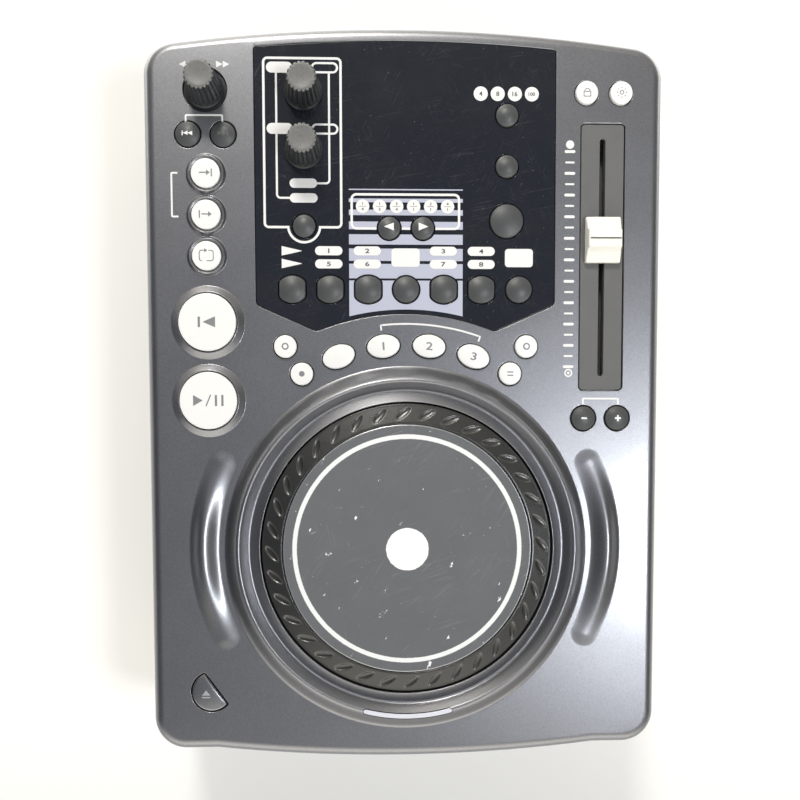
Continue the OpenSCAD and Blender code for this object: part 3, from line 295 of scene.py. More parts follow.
def turned_by(points, degrees):
    """Points turned counter-clockwise about the origin."""
    angle = math.radians(degrees)
    cos, sin = math.cos(angle), math.sin(angle)
    return np.asarray(points) @ np.array([[cos, sin], [-sin, cos]])


def oval(centre, a, b, degrees=0, count=96):
    return turned_by(circle((0, 0), 1, count) * (a, b), degrees) + centre


def rounded(corners, radii, count=6, closed=True):
    """A path whose corners become arcs tangent to both sides; the arc's centre lies on the
    bisector, radius / sin(half the corner's angle) from the corner."""
    corners = np.asarray(corners, float)
    radii = np.broadcast_to(np.asarray(radii, float), len(corners))
    path = []
    for k, (corner, radius) in enumerate(zip(corners, radii)):
        if radius == 0 or (not closed and k in (0, len(corners) - 1)):
            path.append(corner[None])
            continue
        before = corners[k - 1] - corner
        after = corners[(k + 1) % len(corners)] - corner
        before, after = before / np.linalg.norm(before), after / np.linalg.norm(after)
        half = 0.5 * math.acos(np.clip(before @ after, -1, 1))
        middle = (before + after) / np.linalg.norm(before + after)
        centre = corner + middle * radius / math.sin(half)
        first, last = (corner + side * radius / math.tan(half) - centre for side in (before, after))
        start, stop = math.atan2(first[1], first[0]), math.atan2(last[1], last[0])
        sweep = (stop - start + math.pi) % (2 * math.pi) - math.pi
        path.append(arc(centre, radius, math.degrees(start), math.degrees(start + sweep), count))
    return np.concatenate(path)


def rounded_box(centre, width, depth, radius, count=6, degrees=0):
    x, y = width / 2, depth / 2
    corners = rounded([(-x, -y), (x, -y), (x, y), (-x, y)], radius, count)
    return turned_by(corners, degrees) + centre


def pill(centre, width, depth, degrees=0):
    return rounded_box(centre, width, depth, min(width, depth) / 2 - 1e-4, 10, degrees)


def grow(loop, distance):
    """A counter-clockwise loop moved outwards along its mitred normals."""
    after = np.roll(loop, -1, 0) - loop
    after /= np.linalg.norm(after, axis=1, keepdims=True)
    normal = np.stack([after[:, 1], -after[:, 0]], 1)
    before = np.roll(normal, 1, 0)
    reach = 1 + (normal * before).sum(1, keepdims=True)
    return loop + distance * (normal + before) / np.maximum(reach, 0.4)


def finer(loop, step):
    """A loop with points added along its sides, no further apart than a step."""
    after = np.roll(loop, -1, 0) - loop
    counts = np.ceil(np.linalg.norm(after, axis=1) / step).astype(int).clip(1)
    start = np.repeat(np.arange(len(loop)), counts)
    share = (np.arange(len(start)) - np.repeat(np.cumsum(counts) - counts, counts)) / counts[start]
    return loop[start] + after[start] * share[:, None]


def stroke(path, width, ends=True):
    """Outline of a line of even width along an open path, with round ends if asked."""
    path = np.asarray(path, float)
    run = np.gradient(path, axis=0)
    run /= np.linalg.norm(run, axis=1, keepdims=True)
    side = np.stack([-run[:, 1], run[:, 0]], 1) * width / 2
    if not ends:
        return np.concatenate([path - side, (path + side)[::-1]])
    last = math.degrees(math.atan2(-side[-1, 1], -side[-1, 0]))
    first = math.degrees(math.atan2(side[0, 1], side[0, 0]))
    return np.concatenate([path - side, arc(path[-1], width / 2, last, last + 180, 8)[1:-1],
                           (path + side)[::-1], arc(path[0], width / 2, first, first + 180, 8)[1:-1]])


def nearest_edge(centre, count, power, *edges):
    """Closed outline about a centre. In each direction its distance is the power mean of the
    distances to every edge, which rounds the corners where two edges meet."""
    angle = np.linspace(0, 2 * math.pi, count, endpoint=False)
    nearness = sum(1 / edge(angle) ** power for edge in edges)
    reach = nearness ** (-1 / power)
    return np.asarray(centre) + reach[:, None] * np.stack([np.cos(angle), np.sin(angle)], 1)


# ---------------------------------------------------------------- surfaces

def sheet_faces(rows, columns, wrap):
    """Four-cornered faces of a grid; wrap joins the last column to the first."""
    i = np.arange(rows - 1)[:, None] * columns
    j = np.arange(columns if wrap else columns - 1)[None]
    k = (j + 1) % columns
    return np.stack([i + j, i + columns + j, i + columns + k, i + k], -1).reshape(-1, 4)


def inside(points, loops):
    """True where a ray towards +X crosses the loops' sides an odd number of times."""
    crossings = np.zeros(len(points), int)
    x, y = points[:, 0], points[:, 1]
    for loop in loops:
        a, b = loop[:, None], np.roll(loop, -1, 0)[:, None]
        straddles = (a[..., 1] > y) != (b[..., 1] > y)
        rise = np.where(b[..., 1] == a[..., 1], 1, b[..., 1] - a[..., 1])
        crosses = a[..., 0] + (y - a[..., 1]) * (b[..., 0] - a[..., 0]) / rise
        crossings += (straddles & (x < crosses)).sum(0)
    return crossings % 2 == 1


def triangles(loops, extra=()):
    """Constrained Delaunay mesh of the loops' points and more points, as [points, faces] with
    counter-clockwise faces."""
    starts = np.cumsum([0] + [len(loop) for loop in loops])
    edges = np.concatenate([np.stack([np.arange(len(loop)), (np.arange(len(loop)) + 1) % len(loop)], 1)
                            + start for loop, start in zip(loops, starts)])
    points = np.concatenate([*loops, *extra])
    flat, _, faces, *_ = delaunay_2d_cdt(points.tolist(), edges.tolist(), [], 0, 1e-6)
    flat, faces = np.array([tuple(p) for p in flat]), np.array(faces)
    a, b, c = (flat[faces[:, k]] for k in range(3))
    turn = (b[:, 0] - a[:, 0]) * (c[:, 1] - a[:, 1]) - (b[:, 1] - a[:, 1]) * (c[:, 0] - a[:, 0])
    faces[turn < 0] = faces[turn < 0][:, ::-1]
    return flat, faces


def fill(loops, extra=None):
    """Triangles over a flat region, with the extra points that lie inside it."""
    flat, faces = triangles(loops, [] if extra is None else [extra[inside(extra, loops)]])
    return flat, faces[inside(flat[faces].mean(1), loops)]


def fill_minus(loop, holes):
    """Triangles over a loop outside the holes, which may cross its edge."""
    flat, faces = triangles([loop, *holes])
    middle = flat[faces].mean(1)
    keep = inside(middle, [loop])
    for hole in holes:
        keep &= ~inside(middle, [hole])
    return flat, faces[keep]


def lift(loop, z):
    """A plane loop at a height, which may vary from point to point."""
    return np.column_stack([loop, np.broadcast_to(z, len(loop))])


def spread(loops, step):
    """Points of a square grid that covers the loops."""
    low, high = np.concatenate(loops).min(0), np.concatenate(loops).max(0)
    x, y = (np.arange(low[k] + step / 2, high[k], step) for k in (0, 1))
    return np.stack(np.meshgrid(x, y), -1).reshape(-1, 2)


class Surface:
    """Grids and fills in millimetres that become one mesh."""

    def __init__(self):
        self.points, self.faces, self.count = [], [], 0

    def add(self, points, faces):
        points = np.asarray(points, float).reshape(-1, 3)
        self.points.append(points)
        self.faces.append(np.asarray(faces) + self.count)
        self.count += len(points)
        return self

    def grid(self, rows, wrap=True):
        """Rows of points joined into a skin. With counter-clockwise rows it faces outwards where
        the rows run outwards and then down."""
        rows = np.asarray(rows, float)
        return self.add(rows, sheet_faces(rows.shape[0], rows.shape[1], wrap))

    def laid(self, points, faces, z):
        """Plane triangles laid on a height, which may be a function of their points."""
        return self.add(lift(points, z(points) if callable(z) else z), faces)

    def flat(self, loops, z, down=False, extra=None):
        points, faces = fill(loops, extra)
        return self.laid(points, faces[:, ::-1] if down else faces, z)

    def turned(self, profile, centre=(0, 0), count=128, wobble=None):
        """A [radius, height] profile carried round a vertical axis. wobble changes the radii and
        heights as a function of the angle."""
        angle = np.linspace(0, 2 * math.pi, count, endpoint=False)
        radius, height = (np.repeat(np.asarray(profile)[:, k, None], count, 1) for k in (0, 1))
        if wobble is not None:
            radius, height = wobble(radius, height, angle[None])
        x, y = centre[0] + radius * np.cos(angle), centre[1] + radius * np.sin(angle)
        return self.grid(np.stack([x, y, height], -1))

    def lying(self, profile, centre, count=48):
        """A [radius, distance] profile carried round an axis along +Y through a centre."""
        angle = np.linspace(0, 2 * math.pi, count, endpoint=False)
        radius, along = np.asarray(profile)[:, 0, None], np.asarray(profile)[:, 1, None]
        z, x = centre[2] + radius * np.cos(angle), centre[0] + radius * np.sin(angle)
        return self.grid(np.stack([x, np.broadcast_to(centre[1] + along, x.shape), z], -1))

    def build(self, name):
        points = np.concatenate(self.points) * MM
        corners = np.concatenate([faces.ravel() for faces in self.faces]).astype(np.int32)
        counts = np.concatenate([np.full(len(faces), faces.shape[1]) for faces in self.faces])
        mesh = bpy.data.meshes.new(name)
        mesh.vertices.add(len(points))
        mesh.vertices.foreach_set("co", points.ravel())
        mesh.loops.add(len(corners))
        mesh.loops.foreach_set("vertex_index", corners)
        mesh.polygons.add(len(counts))
        mesh.polygons.foreach_set("loop_start", (np.cumsum(counts) - counts).astype(np.int32))
        mesh.update(calc_edges=True)
        mesh.validate()
        work = bmesh.new()
        work.from_mesh(mesh)
        bmesh.ops.remove_doubles(work, verts=work.verts, dist=WELD)
        bmesh.ops.dissolve_degenerate(work, edges=work.edges, dist=WELD / 4)
        work.to_mesh(mesh)
        work.free()
        return mesh


def piece(surface, name, body, material, slot, replaced=(), sharp=38, level=False):
    """A finished object on a body. level keeps flat faces flat in the shading beside rounded
    edges."""
    mesh = surface.build(name)
    mesh.materials.append(material)
    mesh.polygons.foreach_set("use_smooth", np.ones(len(mesh.polygons), bool))
    mesh.set_sharp_from_angle(angle=math.radians(sharp))
    made = bpy.data.objects.new(name, mesh)
    bpy.context.scene.collection.objects.link(made)
    if level:
        weighted = made.modifiers.new("Level", "WEIGHTED_NORMAL")
        weighted.keep_sharp = True
    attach(made, body)
    if replaced:
        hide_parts(*replaced)
    return made


def hole_rows(loop, top, bottom, lip, count=5):
    """Rows up the wall of a hole and over its rounded edge. At angle a the edge lies
    lip * (1 - cos a) outside the wall and lip * (1 - sin a) below the face."""
    angles = np.linspace(0, math.pi / 2, count)
    edge = [lift(grow(loop, lip * (1 - math.cos(a))), top - lip * (1 - math.sin(a))) for a in angles]
    return np.array([lift(loop, bottom)] + edge)


def rim_rows(loop, top, bottom, lip, count=5):
    """Rows over the rounded outer edge of a plate and down its wall."""
    angles = np.linspace(math.pi / 2, 0, count)
    edge = [lift(grow(loop, -lip * (1 - math.cos(a))), top - lip * (1 - math.sin(a))) for a in angles]
    return np.array(edge + [lift(loop, bottom)])


def plate(loop, holes, top, bottom, lip, extra=None):
    """A flat plate with holes, rounded along every edge and open underneath."""
    made = Surface().flat([grow(loop, -lip)] + [grow(hole, lip) for hole in holes], top, extra=extra)
    made.grid(rim_rows(loop, top, bottom, lip))
    for hole in holes:
        made.grid(hole_rows(hole, top, bottom, lip))
    return made


def cap(loop, top, crown, bevel, bottom, rings=9):
    """A closed cap on any outline. Its top is a bowl of revolution, lowered by crown times the
    square of the distance from the middle over the outline's least distance, then come a
    rounded edge, the wall and a flat bottom."""
    centre = loop.mean(0)
    inner = grow(loop, -bevel)
    reach = np.linalg.norm(inner - centre, axis=1)
    fall = crown * (reach / reach.min()) ** 2
    scales = np.linspace(0, 1, rings)
    dome = [lift(centre + (inner - centre) * s, top - fall * s * s) for s in scales]
    angles = np.linspace(math.pi / 2, 0, 6)[1:]
    edge = [lift(grow(loop, -bevel * (1 - math.cos(a))), top - fall - bevel * (1 - math.sin(a)))
            for a in angles]
    foot = [lift(loop, bottom), lift(centre + (loop - centre) * 0, bottom)]
    return Surface().grid(np.array(dome + edge + foot))


def number(text, centre, height, degrees=0, wide=1.2, bold=0.02):
    """Outline triangles of plain numerals as [points, faces], centred on a place."""
    curve = bpy.data.curves.new("numeral", "FONT")
    curve.body, curve.align_x, curve.align_y = text, "CENTER", "CENTER"
    curve.offset, curve.resolution_u = bold, 6
    letter = bpy.data.objects.new("numeral", curve)
    mesh = bpy.data.meshes.new_from_object(letter)
    mesh.calc_loop_triangles()
    points, faces = np.zeros(len(mesh.vertices) * 3), np.zeros(len(mesh.loop_triangles) * 3, np.int32)
    mesh.vertices.foreach_get("co", points)
    mesh.loop_triangles.foreach_get("vertices", faces)
    points = points.reshape(-1, 3)[:, :2]
    low, high = points.min(0), points.max(0)
    points = (points - (low + high) / 2) * (wide, 1) * height / (high - low)[1]
    bpy.data.objects.remove(letter)
    bpy.data.meshes.remove(mesh)
    bpy.data.curves.remove(curve)
    return turned_by(points, degrees) + centre, faces.reshape(-1, 3)


# ---------------------------------------------------------------- plans of the case and controls

def case_plan(c, inset):
    """Plan of the case moved inwards: corner arcs, the rear bow, and the front bow between two
    flat shoulders."""
    half_w, half_l = box_mm("lower_case")[1][:2]
    corner_x, bow_y = half_w - c.corner_r, half_l - c.bow_r
    bow, corner = c.bow_r - inset, c.corner_r - inset
    turn = math.degrees(math.asin(corner_x / (c.bow_r - c.corner_r)))
    rear_y = bow_y + math.sqrt((c.bow_r - c.corner_r) ** 2 - corner_x ** 2)
    shoulder_y = -half_l + c.shoulder_in
    front_y = shoulder_y + c.corner_r
    meet = math.sqrt(bow ** 2 - (-bow_y - shoulder_y - inset) ** 2)
    front = math.degrees(math.asin(meet / bow))
    return np.concatenate([
        arc((corner_x, rear_y), corner, 0, 90 - turn, 16),
        arc((0, bow_y), bow, 90 - turn, 90 + turn, 64)[1:-1],
        arc((-corner_x, rear_y), corner, 90 + turn, 180, 16),
        arc((-corner_x, front_y), corner, 180, 270, 16),
        arc((0, -bow_y), bow, 270 - front, 270 + front, 64),
        arc((corner_x, front_y), corner, 270, 360, 16)])


def display_plan(d, c, inset):
    """Plan of the display panel: straight sides, a hollow arc round the jog wheel in front and
    the rear bow behind."""
    half_l = box_mm("lower_case")[1][1]
    r, half = d.arc_r + inset, d.half - inset
    arc_x = d.arc_half - inset
    turn = math.degrees(math.asin(arc_x / r))
    bow = c.bow_r - d.rear_in - inset
    rear = math.degrees(math.asin(half / bow))
    front_arc = arc(jog_centre(), r, 90 + turn, 90 - turn, 40)
    rear_arc = arc((0, half_l - c.bow_r), bow, 90 - rear, 90 + rear, 40)
    corners = np.concatenate([[[-half, d.side_y + inset]], front_arc, [[half, d.side_y + inset]],
                              rear_arc])
    radii = np.zeros(len(corners))
    radii[[0, 1, 41, 42, 43, 83]] = 3, 4, 4, 3, 1.6, 1.6
    return rounded(corners, radii)


def button_plan(name, k):
    """Outline of a cap seen from above, at its place on the panel."""
    centre = centre_of(name)
    if name in BANK:
        return oval(centre, k.oval_a, k.oval_b, lean_of(name))
    if name in BARREL:
        drop = k.barrel_r - k.barrel_deep

        def side(a):
            return k.barrel_half / np.maximum(np.abs(np.cos(a)), 1e-3)

        def end(sign):
            return lambda a: (-sign * drop * np.sin(a)
                              + np.sqrt(k.barrel_r ** 2 - (drop * np.cos(a)) ** 2))
        return nearest_edge(centre, 128, 26, side, end(1), end(-1))
    if name == EJECT:
        return nearest_edge(eject_centre(k), 160, 30, lambda a: np.full_like(a, k.eject_r),
                            lambda a: k.eject_chord / np.maximum(np.cos(a - math.radians(36)), 1e-3))
    low, high = box_mm(name)
    radius = (high - low)[0] / 2 - k.flange
    return circle(centre, radius, 128 if radius > 10 else 80)


def lean_of(name):
    """Degrees by which a bank cap leans with its circle round the jog wheel."""
    return -math.degrees(math.atan2(*(centre_of(name) - jog_centre())))


def eject_centre(k):
    """The eject cap's box is bounded by its round side to the left and in front."""
    low = box_mm(EJECT)[0]
    return low[:2] + k.eject_r + k.flange


def all_buttons():
    return PEARL_ROUND + DARK_ROUND + LENS_ROUND + BARREL + BANK + [EJECT]


# ---------------------------------------------------------------- shader maths

class Socket:
    """A node's output on which operators add Math nodes."""

    def __init__(self, graph, output):
        self.graph, self.output = graph, output

    def math(self, operation, *values):
        return self.graph.node("ShaderNodeMath", {"operation": operation}, dict(enumerate(values)))[0]

    def __add__(self, other):
        return self.math("ADD", self, other)

    def __radd__(self, other):
        return self.math("ADD", other, self)

    def __sub__(self, other):
        return self.math("SUBTRACT", self, other)

    def __rsub__(self, other):
        return self.math("SUBTRACT", other, self)

    def __mul__(self, other):
        return self.math("MULTIPLY", self, other)

    def __rmul__(self, other):
        return self.math("MULTIPLY", other, self)

    def __abs__(self):
        return self.math("ABSOLUTE", self)


class Node:
    """A node whose outputs are picked by name or number."""

    def __init__(self, graph, made):
        self.graph, self.made = graph, made

    def __getitem__(self, key):
        return Socket(self.graph, self.made.outputs[key])


class Graph:
    """A node tree that is written as expressions."""

    def __init__(self, tree):
        self.tree = tree
        tree.nodes.clear()

    def node(self, kind, options=None, sockets=None):
        """Adds a node, sets its options, then fills its sockets with values or links."""
        made = self.tree.nodes.new(kind)
        for name, value in (options or {}).items():
            setattr(made, name, value)
        for key, value in (sockets or {}).items():
            if isinstance(value, Socket):
                self.tree.links.new(value.output, made.inputs[key])
            else:
                made.inputs[key].default_value = value
        return Node(self, made)

    def place(self):
        return self.node("ShaderNodeTexCoord")["Object"]

    def moved(self, origin=(0, 0, 0), drawn=1, turn=0):
        """Object coordinates about another origin, turned, then drawn out along their Y axis."""
        return self.node("ShaderNodeMapping", {"vector_type": "TEXTURE"}, {
            "Vector": self.place(), "Location": origin, "Scale": (1, drawn, 1),
            "Rotation": (0, 0, math.radians(turn))})["Vector"]

    def noise(self, per_mm, detail, roughness, vector=None):
        return self.node("ShaderNodeTexNoise", None, {
            "Vector": vector or self.place(), "Scale": per_mm / MM, "Detail": detail,
            "Roughness": roughness})["Fac"]

    def cells(self, per_mm):
        """Distance to the nearest of scattered points, and that point's random colour."""
        made = self.node("ShaderNodeTexVoronoi", None, {"Vector": self.place(), "Scale": per_mm / MM})
        return made["Distance"], made["Color"]

    def step(self, value, low, high):
        """A smooth rise from 0 at low to 1 at high."""
        return self.node("ShaderNodeMapRange", {"interpolation_type": "SMOOTHSTEP"}, {
            "Value": value, "From Min": low, "From Max": high})["Result"]

    def specks(self, per_mm, size, share):
        """Scattered dots: round cells under a size, kept for a share of the cells."""
        distance, tone = self.cells(per_mm)
        pick = self.node("ShaderNodeSeparateColor", None, {"Color": tone})["Red"]
        return self.step(distance, size, size * 0.5) * self.step(pick, 1 - share, 1.02 - share)

    def hairlines(self, per_mm, width, turn, stretch, share):
        """Fine scratches: the level lines of a drawn-out noise, broken up by a second one."""
        drawn = self.moved(drawn=stretch, turn=turn)
        level = abs(self.noise(per_mm, 1.0, 0.5, drawn) - 0.5)
        broken = self.step(self.noise(per_mm * 0.7, 2.0, 0.6), 1.02 - share * 0.85, 1.12 - share * 0.85)
        return (1 - self.step(level, 0, width)) * broken

    def scratches(self, groups):
        """Straight fine scratches in patches. Each group has a direction, a count per millimetre
        across it, how far its noise is drawn out, and the level above which it shows."""
        total = 0.0
        for turn, per_mm, drawn, level in groups:
            lines = self.noise(per_mm, 1.0, 0.4, self.moved(drawn=drawn, turn=turn))
            patches = self.step(self.noise(0.06, 3.0, 0.7, self.moved(turn=turn)), 0.46, 0.66)
            total = self.step(lines, level, level + 0.05) * patches + total
        return total

    def mix(self, factor, one, two):
        """Blends two colours."""
        return self.node("ShaderNodeMix", {"data_type": "RGBA"}, {0: factor, 6: one, 7: two})[2]

    def bump(self, height, distance, strength=1.0):
        return self.node("ShaderNodeBump", None, {"Height": height, "Distance": distance * MM,
                                                  "Strength": strength})["Normal"]

    def radius(self, centre):
        """Distance in millimetres from a vertical axis."""
        flat = self.node("ShaderNodeVectorMath", {"operation": "MULTIPLY"}, {
            0: self.moved((centre[0] * MM, centre[1] * MM, 0)), 1: (1, 1, 0)})[0]
        return self.node("ShaderNodeVectorMath", {"operation": "LENGTH"}, {0: flat})["Value"] * (1 / MM)


def rgba(tone, gain=1.0):
    return (*(min(1.0, value * gain) for value in tone), 1.0)


def finish(name, recipe, *details):
    """A material whose recipe fills the sockets of one shader."""
    made = bpy.data.materials.get(name)
    if made is None:
        made = bpy.data.materials.new(name)
        made.use_nodes = True
        graph = Graph(made.node_tree)
        shader = graph.node("ShaderNodeBsdfPrincipled", None, recipe(graph, *details))
        graph.node("ShaderNodeOutputMaterial", None, {"Surface": shader["BSDF"]})
    return made


def lacquer(g, tone):
    """Metallic lacquer: fine flakes, faint clouds, a few scuffs and dust."""
    flakes = g.noise(3.4, 2.0, 0.7)
    clouds = g.noise(0.045, 3.0, 0.6)
    scuffs = g.hairlines(0.05, 0.006, 35, 5, 0.35)
    dust = g.specks(0.25, 0.09, 0.3)
    tint = g.mix(g.step(flakes, 0.34, 0.66), rgba(tone, 0.84), rgba(tone, 1.16))
    tint = g.mix(scuffs * 0.35, tint, rgba(tone, 2.2))
    tint = g.mix(dust * 0.4, tint, (0.42, 0.42, 0.42, 1))
    return {"Base Color": tint, "Metallic": 0.95, "Roughness": 0.33 + 0.06 * clouds - 0.05 * scuffs,
            "Coat Weight": 0.35, "Coat Roughness": 0.12, "Normal": g.bump(flakes, 0.02, 0.5)}


def gloss_print(g, tone):
    """Back-printed gloss sheet with dust, smudges and fine scratches."""
    smudge = g.step(g.noise(0.035, 4.0, 0.6), 0.45, 0.75)
    lines = g.scratches(((-28, 3.2, 34, 0.66), (20, 4.0, 60, 0.66), (-55, 3.6, 24, 0.67),
                         (70, 4.2, 46, 0.67), (-80, 3.0, 80, 0.67), (43, 5.0, 16, 0.68)))
    dust = g.specks(0.42, 0.07, 0.45)
    fine = g.specks(1.3, 0.08, 0.22)
    tint = g.mix(smudge * 0.35, rgba(tone), (0.020, 0.021, 0.026, 1))
    tint = g.mix(lines * 0.06, tint, (0.40, 0.41, 0.45, 1))
    tint = g.mix(dust * 0.4 + fine * 0.14, tint, (0.55, 0.56, 0.58, 1))
    return {"Base Color": tint, "Roughness": 0.07 + 0.10 * smudge + 0.3 * dust,
            "Normal": g.bump(lines * -1, 0.01, 0.4)}


def ink(g, tone):
    """Screen-printed ink, a little uneven and worn."""
    grain = g.noise(2.2, 3.0, 0.7)
    wear = g.step(g.noise(0.5, 4.0, 0.7), 0.66, 0.80)
    tint = g.mix(grain * 0.25 + wear * 0.25, rgba(tone), rgba(tone, 0.74))
    return {"Base Color": tint, "Roughness": 0.35 + 0.15 * grain,
            "Normal": g.bump(grain, 0.01, 0.3)}


def pearl(g, tone):
    """Pearl plastic: a soft sheen, faint clouds and handling marks."""
    clouds = g.noise(0.16, 3.0, 0.6)
    grain = g.noise(5.0, 2.0, 0.6)
    grime = g.step(g.noise(0.7, 5.0, 0.7), 0.62, 0.82)
    tint = g.mix(clouds, rgba(tone), rgba((tone[0], tone[1] * 0.99, tone[2] * 0.965)))
    tint = g.mix(grime * 0.22, tint, (0.42, 0.40, 0.34, 1))
    return {"Base Color": tint, "Roughness": 0.34 + 0.1 * clouds, "Coat Weight": 0.2,
            "Coat Roughness": 0.25, "Normal": g.bump(grain, 0.008, 0.3)}


def rubber(g, tone, rough=0.62, dusty=0.22):
    """Moulded rubber: fine grain, dust and shiny touched spots."""
    grain = g.noise(6.0, 3.0, 0.6)
    touched = g.noise(0.35, 3.0, 0.6)
    dust = g.step(g.noise(1.6, 5.0, 0.75), 0.58, 0.80)
    tint = g.mix(touched, rgba(tone, 0.85), rgba(tone, 1.2))
    tint = g.mix(dust * dusty, tint, (0.26, 0.26, 0.25, 1))
    return {"Base Color": tint, "Roughness": rough - 0.14 * touched + 0.1 * dust,
            "Normal": g.bump(grain, 0.02, 0.45)}


def knob_skin(g, tone, top):
    """Knob rubber, lighter grey on its top: partly rubbed wear and dust, partly a painted highlight on the
    top face.
    """
    recipe = rubber(g, tone, 0.5)
    height = g.node("ShaderNodeSeparateXYZ", None, {"Vector": g.place()})["Z"] * (1 / MM)
    # The top is mixed towards grey for two reasons: rubbed wear and dust, and painted light that makes the
    # top brighter than the sides.
    rubbed_and_lit_top = g.step(height, top - 0.9, top - 0.2) * (0.38 + 0.80 * g.noise(0.9, 4.0, 0.75))
    recipe["Base Color"] = g.mix(rubbed_and_lit_top, recipe["Base Color"], (0.18, 0.18, 0.176, 1))
    return recipe


def worn_ring(g, tone):
    """Ring rubber whose dimple edges are polished and dusty, from the edge attribute."""
    recipe = rubber(g, tone, 0.36, 0.05)
    recipe["Specular IOR Level"] = 0.9
    edge = g.node("ShaderNodeAttribute", {"attribute_name": "edge"})["Fac"]
    marks = g.step(g.noise(1.1, 4.0, 0.7), 0.35, 0.75)
    recipe["Base Color"] = g.mix(edge * (0.10 + 0.35 * marks), recipe["Base Color"],
                                 (0.22, 0.22, 0.20, 1))
    return recipe


def film(g, tone, centre):
    """Grey film of the touch plate with a printed ring and a middle dot, both scuffed, long
    scratches and small chips down to a white layer."""
    radius = g.radius(centre)
    scuffed = g.noise(1.4, 4.0, 0.7)
    ragged = radius + (scuffed - 0.5) * 0.35
    ring = g.step(ragged, 46.9, 47.2) * (1 - g.step(ragged, 48.8, 49.1))
    dot = 1 - g.step(radius + (g.noise(0.6, 5.0, 0.75) - 0.5) * 0.9, 8.95, 9.2)
    lost = g.step(g.noise(2.0, 4.0, 0.75), 0.60, 0.72)
    scratches = g.scratches(((-34, 3.4, 90, 0.68), (-50, 2.6, 40, 0.70), (-72, 3.8, 120, 0.68),
                             (12, 3.0, 60, 0.71)))
    chips = g.step(g.noise(0.24, 5.0, 0.68, g.moved(drawn=1.7, turn=-35)), 0.672, 0.680)
    nicks = g.step(g.noise(0.9, 3.0, 0.6), 0.755, 0.770)
    clouds = g.noise(0.06, 4.0, 0.6)
    grain = g.noise(4.5, 3.0, 0.7)
    bevel = g.step(radius, 52.5, 52.8)
    tint = g.mix(clouds * 0.6 + grain * 0.4, rgba(tone, 0.84), rgba(tone, 1.16))
    tint = g.mix(scratches * 0.15, tint, (0.62, 0.62, 0.62, 1))
    tint = g.mix(ring * (1 - lost * 0.35), tint, (0.78, 0.79, 0.80, 1))
    tint = g.mix(dot, tint, (0.90, 0.90, 0.90, 1))
    tint = g.mix((chips + nicks) * (1 - dot), tint, (0.85, 0.85, 0.87, 1))
    tint = g.mix(bevel, tint, (0.42, 0.43, 0.45, 1))
    return {"Base Color": tint, "Roughness": 0.74 - 0.10 * clouds - 0.40 * bevel, "Metallic": bevel,
            "Specular IOR Level": 0.25,
            "Normal": g.bump(grain * 0.3 + chips * -1.0 + scratches * -0.5, 0.03, 0.5)}


def satin(g, tone, rough=0.5, per_mm=4.0):
    """Plain moulded or painted surface with an even fine grain."""
    grain = g.noise(per_mm, 3.0, 0.6)
    clouds = g.noise(0.12, 3.0, 0.6)
    tint = g.mix(clouds * 0.6 + grain * 0.4, rgba(tone, 0.82), rgba(tone, 1.18))
    return {"Base Color": tint, "Roughness": rough + 0.1 * (clouds - 0.5),
            "Normal": g.bump(grain, 0.02, 0.4)}


def sheet_metal(g, tone, turn=0):
    """Rolled and plated metal: grain drawn out along one direction and faint spangle."""
    drawn = g.noise(1.5, 4.0, 0.7, g.moved(drawn=25, turn=turn))
    spangle = g.cells(0.12)[0]
    tint = g.mix(drawn * 0.6 + spangle * 0.2, rgba(tone, 0.75), rgba(tone, 1.15))
    return {"Base Color": tint, "Metallic": 0.95, "Roughness": 0.28 + 0.18 * drawn,
            "Normal": g.bump(drawn, 0.01, 0.3)}


def circuit_board(g, tone):
    """Solder resist with darker laminate between copper runs."""
    runs = g.node("ShaderNodeTexBrick", {"offset": 0.5}, {
        "Vector": g.place(), "Color1": rgba(tone, 1.5), "Color2": rgba(tone, 1.0),
        "Mortar": rgba(tone, 0.45), "Scale": 90.0, "Mortar Size": 0.03})["Color"]
    grain = g.noise(1.2, 3.0, 0.6)
    return {"Base Color": g.mix(grain * 0.4, runs, rgba(tone, 0.7)), "Roughness": 0.35 + 0.1 * grain,
            "Normal": g.bump(grain, 0.02, 0.3)}


def milky(g, tone):
    """Milky lamp window with a painted glow that stands in for room light shining through it from behind."""
    clouds = g.noise(0.15, 3.0, 0.6)
    return {"Base Color": g.mix(clouds, rgba(tone, 0.94), rgba(tone, 1.08)),
            "Roughness": 0.3 + 0.1 * clouds, "Coat Weight": 0.3,
            # Painted glow: the window emits a little light, though nothing lights it from behind.
            "Emission Color": (0.80, 0.82, 0.95, 1), "Emission Strength": 0.05}


def felt(g, tone):
    """Short dark fibres."""
    fibres = g.noise(2.5, 5.0, 0.8, g.moved(drawn=5, turn=12))
    return {"Base Color": g.mix(g.step(fibres, 0.45, 0.7), rgba(tone, 0.5), rgba(tone, 1.9)),
            "Roughness": 0.85, "Normal": g.bump(fibres, 0.1, 0.8)}


def tone(name):
    return tuple(getattr(settings().finishes, name))


def case_paint():
    return finish("case_lacquer", lacquer, tone("paint"))


# ---------------------------------------------------------------- case

def wall_map(plan):
    """Maps (distance round the plan, height) to a place on the wall."""
    ring = np.concatenate([plan, plan[:1]])
    run = np.concatenate([[0], np.cumsum(np.linalg.norm(np.diff(ring, axis=0), axis=1))])

    def place(points):
        return np.stack([np.interp(points[:, 0], run, ring[:, k]) for k in (0, 1)] + [points[:, 1]], 1)
    return run, place


